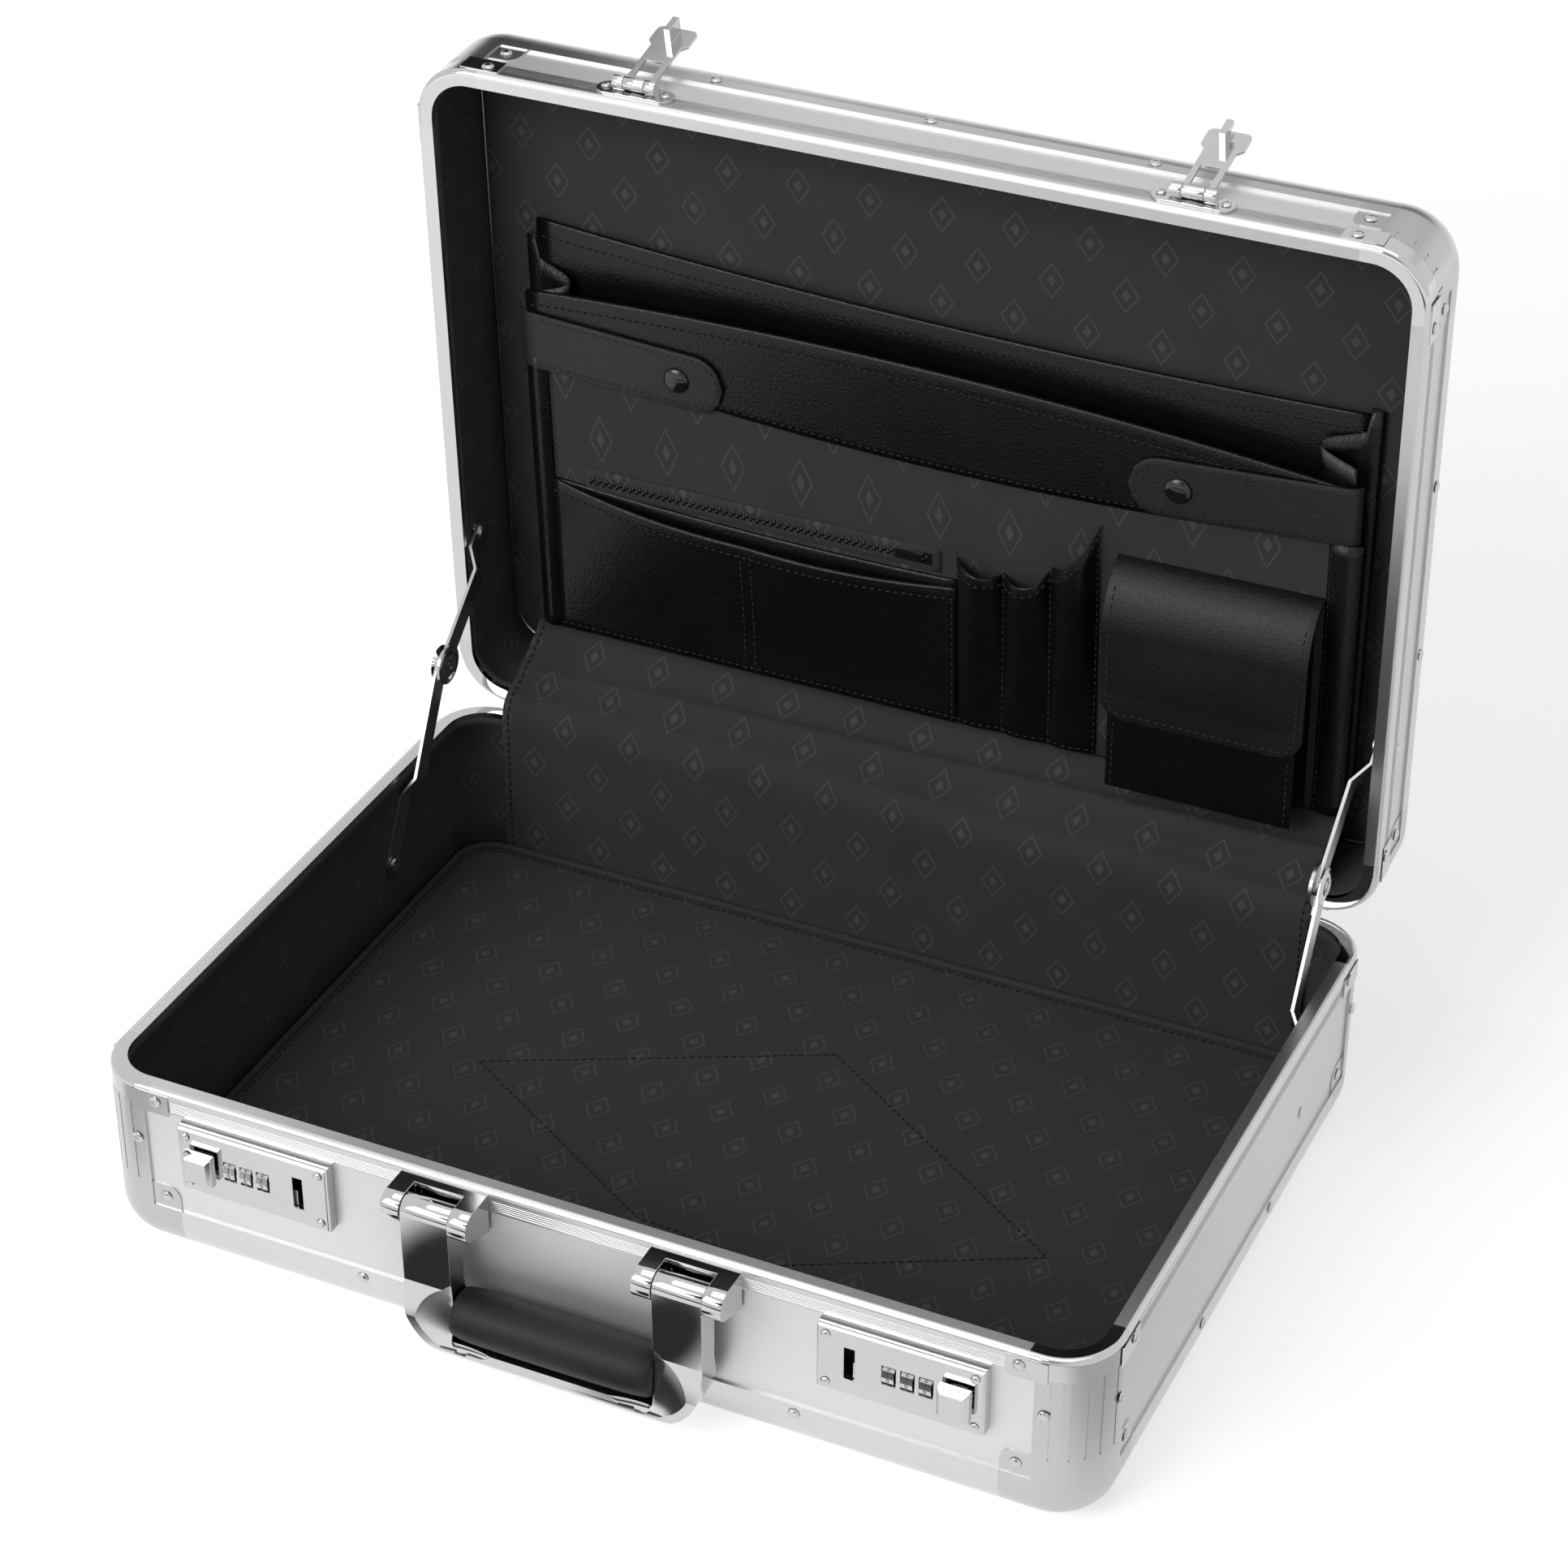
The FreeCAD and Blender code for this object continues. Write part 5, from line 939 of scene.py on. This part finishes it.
seam_half = STRAP_HALF - 0.0025
arc = [(STRAP_END + STRAP_HALF - seam_half * math.cos(angle), seam_half * math.sin(angle))
       for angle in [math.pi * (share - 0.5) for share in shares(12)]]
strap_seam = [(ORGANISER_HALF, -seam_half)] + arc + [(ORGANISER_HALF, seam_half)]
seam_points = []
for (x0, d0), (x1, d1) in zip(strap_seam, strap_seam[1:]):
    steps = max(1, round(abs(x1 - x0) / SEAM_STEP))
    seam_points += [(x0 + (x1 - x0) * i / steps, d0 + (d1 - d0) * i / steps) for i in range(steps)]
for word, side in HANDS.items():
    made = bent(strap_at(side), 40, 8, STRAP_FLAT)
    bmesh.ops.remove_doubles(made, verts=made.verts, dist=1e-5)
    if side > 0:
        bmesh.ops.reverse_faces(made, faces=made.faces)
    tongue = lid_sheet("strap_" + word, made, strap_painted_light_finish, STRAP_THICK,
                       ["organiser_straps"] if side < 0 else (), rounding=0.0003)
    organiser_seams.append([front_at(side * x, strap_line(x) + d, STRAP_SEAM_OFF) for x, d in seam_points])

lacquer_finish, lacquer_coords = new_finish("black_lacquer")
feed(lacquer_finish, Base_Color=grey(noise(lacquer_coords, 80.0), 0.006, 0.012),
     Roughness=noise(lacquer_coords, 150.0) * 0.12 + 0.10)
STUD_PROFILE = [(0.0061, 0.0), (0.0063, 0.0007), (0.0057, 0.0014), (0.0042, 0.0021), (0.0020, 0.0025),
                (0.0, 0.0026)]
STUD_PLACE = 0.120
STUD_OFF = 0.0032
studs = bmesh.new()
for side in HANDS.values():
    turned = turned_shape(STUD_PROFILE, steps=24)
    spot = front_at(side * STUD_PLACE, strap_line(STUD_PLACE), STUD_OFF)
    bmesh.ops.transform(turned, matrix=IN_LID @ Matrix.Translation(spot), verts=turned.verts)
    copy = bpy.data.meshes.new("stud_copy")
    turned.to_mesh(copy)
    turned.free()
    studs.from_mesh(copy)
link_piece("strap_studs", studs, lacquer_finish, "lid", ["snap_buttons"])

# Zip pocket: a leather lip below, and a zip with black teeth sewn along the cloth; its slider is a CAD
# node in black lacquer.
coat(["zip_slider"], lacquer_finish)
ZIP_LINE = -0.048
ZIP_ENDS = (-0.172, 0.008)
TAPE = (ZIP_ENDS[1] - ZIP_ENDS[0], 0.012)
TAPE_OFF = 0.0007
TAPE_SWELL = 0.0003
LIP_ENDS = (-0.1885, 0.016)
LIP_FOOT = -0.080
LIP_OFF = 0.0016
TOOTH = (0.0009, 0.0022, 0.0011)
TOOTH_ASIDE = 0.0007
TOOTH_OFF = 0.0013
TOOTH_PITCH = 0.00172
FIRST_TOOTH = ZIP_ENDS[0] + 0.003
TEETH = 100


def lip_top(x):
    """Height of the lip's top edge, which sags between its ends."""
    return -0.0580 + 0.006 * ((x + 0.04) / 0.15) ** 2


def tape_at(u, t):
    """Place on the zip's tape, which swells along its middle."""
    off = TAPE_OFF + TAPE_SWELL * math.sin(math.pi * t)
    return front_at(ZIP_ENDS[0] + TAPE[0] * u, ZIP_LINE + TAPE[1] * (t - 0.5), off)


leather_panel("zip_lip", front_at, LIP_ENDS, level(LIP_FOOT), lip_top, LIP_OFF, columns=36, rows=6)
tape = lid_sheet("zip_band", bent(tape_at, 36, 6, TAPE), lining_finish, thickness=0.0006,
                 replaced=["zip_tape"])
teeth = bmesh.new()
for number in range(TEETH):
    aside = TOOTH_ASIDE if number % 2 else -TOOTH_ASIDE
    spot = front_at(FIRST_TOOTH + number * TOOTH_PITCH, ZIP_LINE + aside, TOOTH_OFF)
    bmesh.ops.create_cube(teeth, size=1.0,
                          matrix=IN_LID @ Matrix.Translation(spot) @ Matrix.Diagonal((*TOOTH, 1.0)))
link_piece("zip_teeth", teeth, lacquer_finish, "lid")

# Card pocket: a soft leather patch with a sagging mouth, sewn to the front panel round its edge and by
# a double seam that makes two pockets.
POCKET_LEFT = -0.188
POCKET_RIGHT = 0.016
POCKET_ENDS = (POCKET_LEFT, POCKET_RIGHT)
POCKET_FOOT = -0.1335
POCKET_OFF = 0.0030
POCKET_SEAM_FOOT = -0.1305
DOUBLE_SEAM = (-0.0905, -0.0855)


def pocket_top(x):
    """Height of the patch's mouth, which sags between its ends."""
    return -0.0640 + 0.0115 * ((x + 0.055) / 0.13) ** 2


def pocket_at(x, v, off=0.0):
    """Place on the patch, which gapes towards its mouth and is held down by the double seam."""
    share = min(max((x - POCKET_LEFT) / (POCKET_RIGHT - POCKET_LEFT), 0.0), 1.0)
    rise = max(0.0, (v + 0.133) / 0.07)
    halves = abs(math.sin(2.04 * math.pi * share))
    slack = rise ** 2 * (0.0030 * math.sin(math.pi * share) + 0.0016 * halves)
    return front_at(x, v, off) + Vector((0.0, 0.0, slack))


leather_panel("card_patch", pocket_at, POCKET_ENDS, level(POCKET_FOOT), pocket_top, POCKET_OFF,
              ["card_pocket"], columns=60, rows=14)
organiser_seams += [along(pocket_at, height, POCKET_ENDS, POCKET_OFF + EDGE)
                    for height in (below(pocket_top, drop=0.0045), level(POCKET_SEAM_FOOT))]
organiser_seams += [upright(pocket_at, x, POCKET_FOOT, pocket_top(x) - 0.003, POCKET_OFF + EDGE)
                    for x in (*DOUBLE_SEAM, POCKET_RIGHT - 0.0015)]

# Pen holders: three pleats of thin leather, sewn to the front panel between them, that stand out from
# it and rise to the right.
PEN_LEFT = 0.016
PEN_RIGHT = 0.084
PEN_ROWS = 14
PEN_ROLL = 0.0009
PEN_OFF = 0.0012
PEN_SEAMS = (0.3335, 0.6668, 0.994)
PEN_SEAM_FOOT = -0.1312


def pen_top(u):
    """Height of the pleats' mouths, which sag on the left and rise to the right."""
    sag = 0.003 * math.sin(math.pi * min(1.0, u / 0.6))
    return -0.0445 - sag + 0.034 * max(0.0, (u - 0.55) / 0.45) ** 1.3


def pen_at(u, v, off=0.0):
    """Place on the pleats, which stand prouder towards their mouths."""
    x = PEN_LEFT + (PEN_RIGHT - PEN_LEFT) * u
    rise = max(0.0, min(1.0, (v + 0.134) / 0.09))
    phase = (3.0 * u) % 1.0 if u < 0.9999 else 1.0
    pleat = math.sin(math.pi * phase ** 0.75) ** 0.9 if 0.0 < phase < 1.0 else 0.0
    proud = (0.0016 + 0.0082 * rise ** 0.8) * pleat
    lean = 0.0035 * rise * pleat
    return front_at(x + lean, v, off + PEN_OFF + proud)


def pens_shape(u, t):
    """The pleats with their top edge rolled over to the back."""
    row = t * (PEN_ROWS + TURN_ROWS)
    if row <= PEN_ROWS + 1e-6:
        return pen_at(u, POCKET_FOOT + (pen_top(u) - POCKET_FOOT) * row / PEN_ROWS)
    return turned_over(pen_at(u, pen_top(u)), (row - PEN_ROWS) / TURN_ROWS, PEN_ROLL)


pleats = bent(pens_shape, 72, PEN_ROWS + TURN_ROWS, (0.085, 0.1))
pens = lid_sheet("pen_pleats", pleats, leather_finish, THIN, ["pen_pockets"])
organiser_seams += [upright(pen_at, u, POCKET_FOOT, pen_top(u), off=0.0005) for u in PEN_SEAMS]
organiser_seams.append([pen_at(u, PEN_SEAM_FOOT, EDGE) for u in shares(60)])
organiser_seams.append([pen_at(u, pen_top(u) - 0.004, EDGE) for u in shares(60)])

# Phone pouch: a stiff leather box with folded sides, sewn to the front panel, and a rounded flap that
# closes over its mouth.
flap_finish = leather("flap_leatherette", 0.004, 0.008, 0.36)
grey_thread = thread("grey_thread", 0.020, 0.045)
FLAP_MIDDLE = 0.140
FLAP_HALF = 0.0475
FLAP_TOP = -0.0224
FLAP_FOOT = -0.0960
FLAP_FACE = -0.0104
FLAP_BEND = 0.030
FLAP_CORNER = 0.012
FLAP_THICK = 0.0016
FLAP_DEPTH = FLAP_FACE - FRONT_FACE
BEND_FOOT = FLAP_TOP - FLAP_BEND
BEND_STEPS = 60
BEND_STEP = math.pi / 2 / BEND_STEPS
bend_runs = [0.0]
for step in range(BEND_STEPS):
    middle = BEND_STEP * (step + 0.5)
    run = BEND_STEP * math.hypot(FLAP_DEPTH * math.cos(middle), FLAP_BEND * math.sin(middle))
    bend_runs.append(bend_runs[-1] + run)
BEND_RUN = bend_runs[-1]
HANG_RUN = BEND_FOOT - FLAP_FOOT
FLAP_RUN = BEND_RUN + HANG_RUN


def flap_at(u, t, off=0.0, edge_in=0.0):
    """Place on the flap: out of the panel in one broad bend, then down the front."""
    run = t * FLAP_RUN
    left = FLAP_RUN - run
    half = FLAP_HALF - edge_in
    if left < FLAP_CORNER:
        half += math.sqrt(max(0.0, FLAP_CORNER ** 2 - (FLAP_CORNER - left) ** 2)) - FLAP_CORNER
    x = FLAP_MIDDLE + half * (2.0 * u - 1.0)
    if run < BEND_RUN:
        turn = BEND_STEP * bisect.bisect_left(bend_runs, run)
        lean = Vector((0.0, math.cos(turn) / FLAP_BEND, math.sin(turn) / FLAP_DEPTH)).normalized()
        spot = Vector((x, BEND_FOOT + FLAP_BEND * math.cos(turn), FRONT_FACE + FLAP_DEPTH * math.sin(turn)))
        return spot + lean * off
    down = run - BEND_RUN
    belly = 0.0011 * math.sin(math.pi * min(1.0, down / HANG_RUN)) * (1.0 - (2.0 * u - 1.0) ** 2)
    curl = 0.0012 * max(0.0, down / HANG_RUN - 0.7) / 0.3
    return Vector((x, BEND_FOOT - down, FLAP_FACE + belly + curl + off))


POUCH_HALF = 0.044
POUCH_FOOT = -0.135
POUCH_FACE = -0.0128
POUCH_ROOM = 0.0030
POUCH_THICK = 0.0012
POUCH_SEAMS = (0.099, 0.181)
POUCH_SEAM_TOP = -0.099
POUCH_SEAM_RUN = 0.033
ON_FACE = 0.999


def pouch_mouth(w):
    """Height of the pouch's mouth at one depth, just under the flap's bend."""
    share = min(1.0, max(0.0, (w - FRONT_FACE) / (FLAP_DEPTH - POUCH_ROOM / 2)))
    return BEND_FOOT - POUCH_ROOM + FLAP_BEND * math.sqrt(max(0.0, 1.0 - share * share))


pouch = bmesh.new()
bmesh.ops.create_cube(pouch, size=2.0)
bmesh.ops.subdivide_edges(pouch, edges=pouch.edges[:], cuts=9, use_grid_fill=True)
open_top = [face for face in pouch.faces if all(vert.co.y > ON_FACE for vert in face.verts)]
bmesh.ops.delete(pouch, geom=open_top, context="FACES")
for vert in pouch.verts:
    x, v, w = vert.co
    if abs(x) > ON_FACE:
        x *= 1.0 - 0.10 * (1.0 - w * w) * (0.4 + 0.3 * (1.0 - v))
    if v < -ON_FACE:
        v += 0.035 * (1.0 - w * w)
    depth = FRONT_FACE + (POUCH_FACE - FRONT_FACE) * (w + 1.0) / 2.0
    height = POUCH_FOOT + (pouch_mouth(depth) - POUCH_FOOT) * (v + 1.0) / 2.0
    belly = 0.0006 * (1.0 - x * x) * (1.0 - v * v) if w > ON_FACE else 0.0
    vert.co = (FLAP_MIDDLE + POUCH_HALF * x, height, depth + belly)
bmesh.ops.recalc_face_normals(pouch, faces=pouch.faces)
if sum(face.normal.y for face in pouch.faces if face.calc_center_median().y < POUCH_FOOT + 0.003) > 0:
    bmesh.ops.reverse_faces(pouch, faces=pouch.faces)
pouch_area = sum(face.calc_area() for face in pouch.faces)
pouch_box = lid_sheet("pouch_box", pouch, leather_finish, POUCH_THICK, ["phone_pouch"], rounding=0.0005)

made = bent(flap_at, 24, 64, (2 * FLAP_HALF, FLAP_RUN))
bmesh.ops.reverse_faces(made, faces=made.faces)
made.normal_update()
if made.faces[:][0].normal.y < 0:
    bmesh.ops.reverse_faces(made, faces=made.faces)
flap = lid_sheet("pouch_flap", made, flap_finish, FLAP_THICK, ["phone_pouch_flap"], rounding=0.0003,
                 body="phone_flap")
SEAM_IN = 0.0035
SEAM_PROUD = 0.0003
SEAM_TOP = 0.2
seam_foot = 1.0 - SEAM_IN / FLAP_RUN
down_side = [SEAM_TOP + (seam_foot - SEAM_TOP) * share for share in shares(60)]
flap_seam = [(0.0, t) for t in down_side]
flap_seam += [(u, seam_foot) for u in shares(20)[1:-1]]
flap_seam += [(1.0, t) for t in reversed(down_side)]
sew("flap_stitches", [[flap_at(u, t, SEAM_PROUD, SEAM_IN) for u, t in flap_seam]], grey_thread,
    "phone_flap", IN_LID)
for x in POUCH_SEAMS:
    places = [POUCH_SEAM_TOP - POUCH_SEAM_RUN * share for share in shares(10)]
    organiser_seams.append([Vector((x, place, POUCH_FACE + EDGE)) for place in places])
sew("organiser_stitches", organiser_seams, grey_thread, "lid", IN_LID)

# Grip: a padded roll of fine-grained black leather that fills the handle's frame above its bar, held
# between the frame's arms.
grip_finish, grip_coords = new_finish("grip_leather", Specular_IOR_Level=0.24)
fine_grain = noise(grip_coords, 1600.0, 3.0)
sheen = noise(grip_coords, 50.0, 3.0)
feed(grip_finish, Base_Color=grey(sheen, 0.007, 0.012), Roughness=fine_grain * 0.15 + sheen * 0.06 + 0.38,
     Normal=bump(fine_grain, 0.35, 0.0003))
GRIP_PLACE = Vector((0.0, -0.178, 0.0332))
GRIP = Vector((0.0915, 0.0125, 0.0116))
END_TAPER = 0.10
BARREL = 0.03
GRIP_ROUND = 0.0015
grip = bmesh.new()
bmesh.ops.create_cone(grip, cap_ends=True, segments=44, radius1=1.0, radius2=1.0, depth=1.0)
long_edges = [edge for edge in grip.edges if abs(edge.verts[0].co.z - edge.verts[1].co.z) > 0.5]
bmesh.ops.subdivide_edges(grip, edges=long_edges, cuts=19)
for vert in grip.verts:
    across, upward, endward = vert.co
    girth = 1.0 - END_TAPER * abs(2.0 * endward) ** 10 - BARREL * (2.0 * endward) ** 2
    vert.co = GRIP_PLACE + Vector((endward * GRIP.x, across * GRIP.y * girth, upward * GRIP.z * girth))
bmesh.ops.recalc_face_normals(grip, faces=grip.faces)
roll = link_piece("grip_roll", grip, grip_finish, "handle", ["handle_grip"])
bevel(roll, "rounding", GRIP_ROUND, segments=3, angle=50.0)

# Numerals: ten figures printed in black paint round each dial, one on each of its flats; the dials turn
# behind the windows of the lock plates.
paint_finish, paint_coords = new_finish("black_paint")
feed(paint_finish, Base_Color=grey(noise(paint_coords, 300.0), 0.006, 0.014),
     Roughness=noise(paint_coords, 200.0) * 0.1 + 0.4)
FLAT_REACH = 0.005 * math.cos(math.pi / 10)
FIGURE_HEIGHT = 0.0034
PAINT = 0.00004
PAINT_LIFT = 0.00003
FIRST_TURN = 288.0
FLAT_TURN = 36.0
ALONG_AXLE = Vector((1.0, 0.0, 0.0))
for dial in DIALS:
    low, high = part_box("dial_" + dial)
    middle = (Vector(low) + Vector(high)) / 2
    figures = bmesh.new()
    for digit in range(10):
        figure = bpy.data.curves.new("figure", "FONT")
        figure.body = str(digit)
        figure.size = FIGURE_HEIGHT
        figure.align_x = "CENTER"
        figure.align_y = "CENTER"
        figure.resolution_u = 2
        figure.extrude = PAINT
        drawn = mesh_of(figure)
        turn = math.radians(FIRST_TURN - FLAT_TURN * digit)
        out = Vector((0.0, math.sin(turn), -math.cos(turn)))
        facing = Matrix((ALONG_AXLE, out.cross(ALONG_AXLE), out)).transposed().to_4x4()
        drawn.transform(Matrix.Translation(middle + out * (FLAT_REACH + PAINT_LIFT)) @ facing)
        figures.from_mesh(drawn)
    link_piece("figures_" + dial, figures, paint_finish, "dial_" + dial)
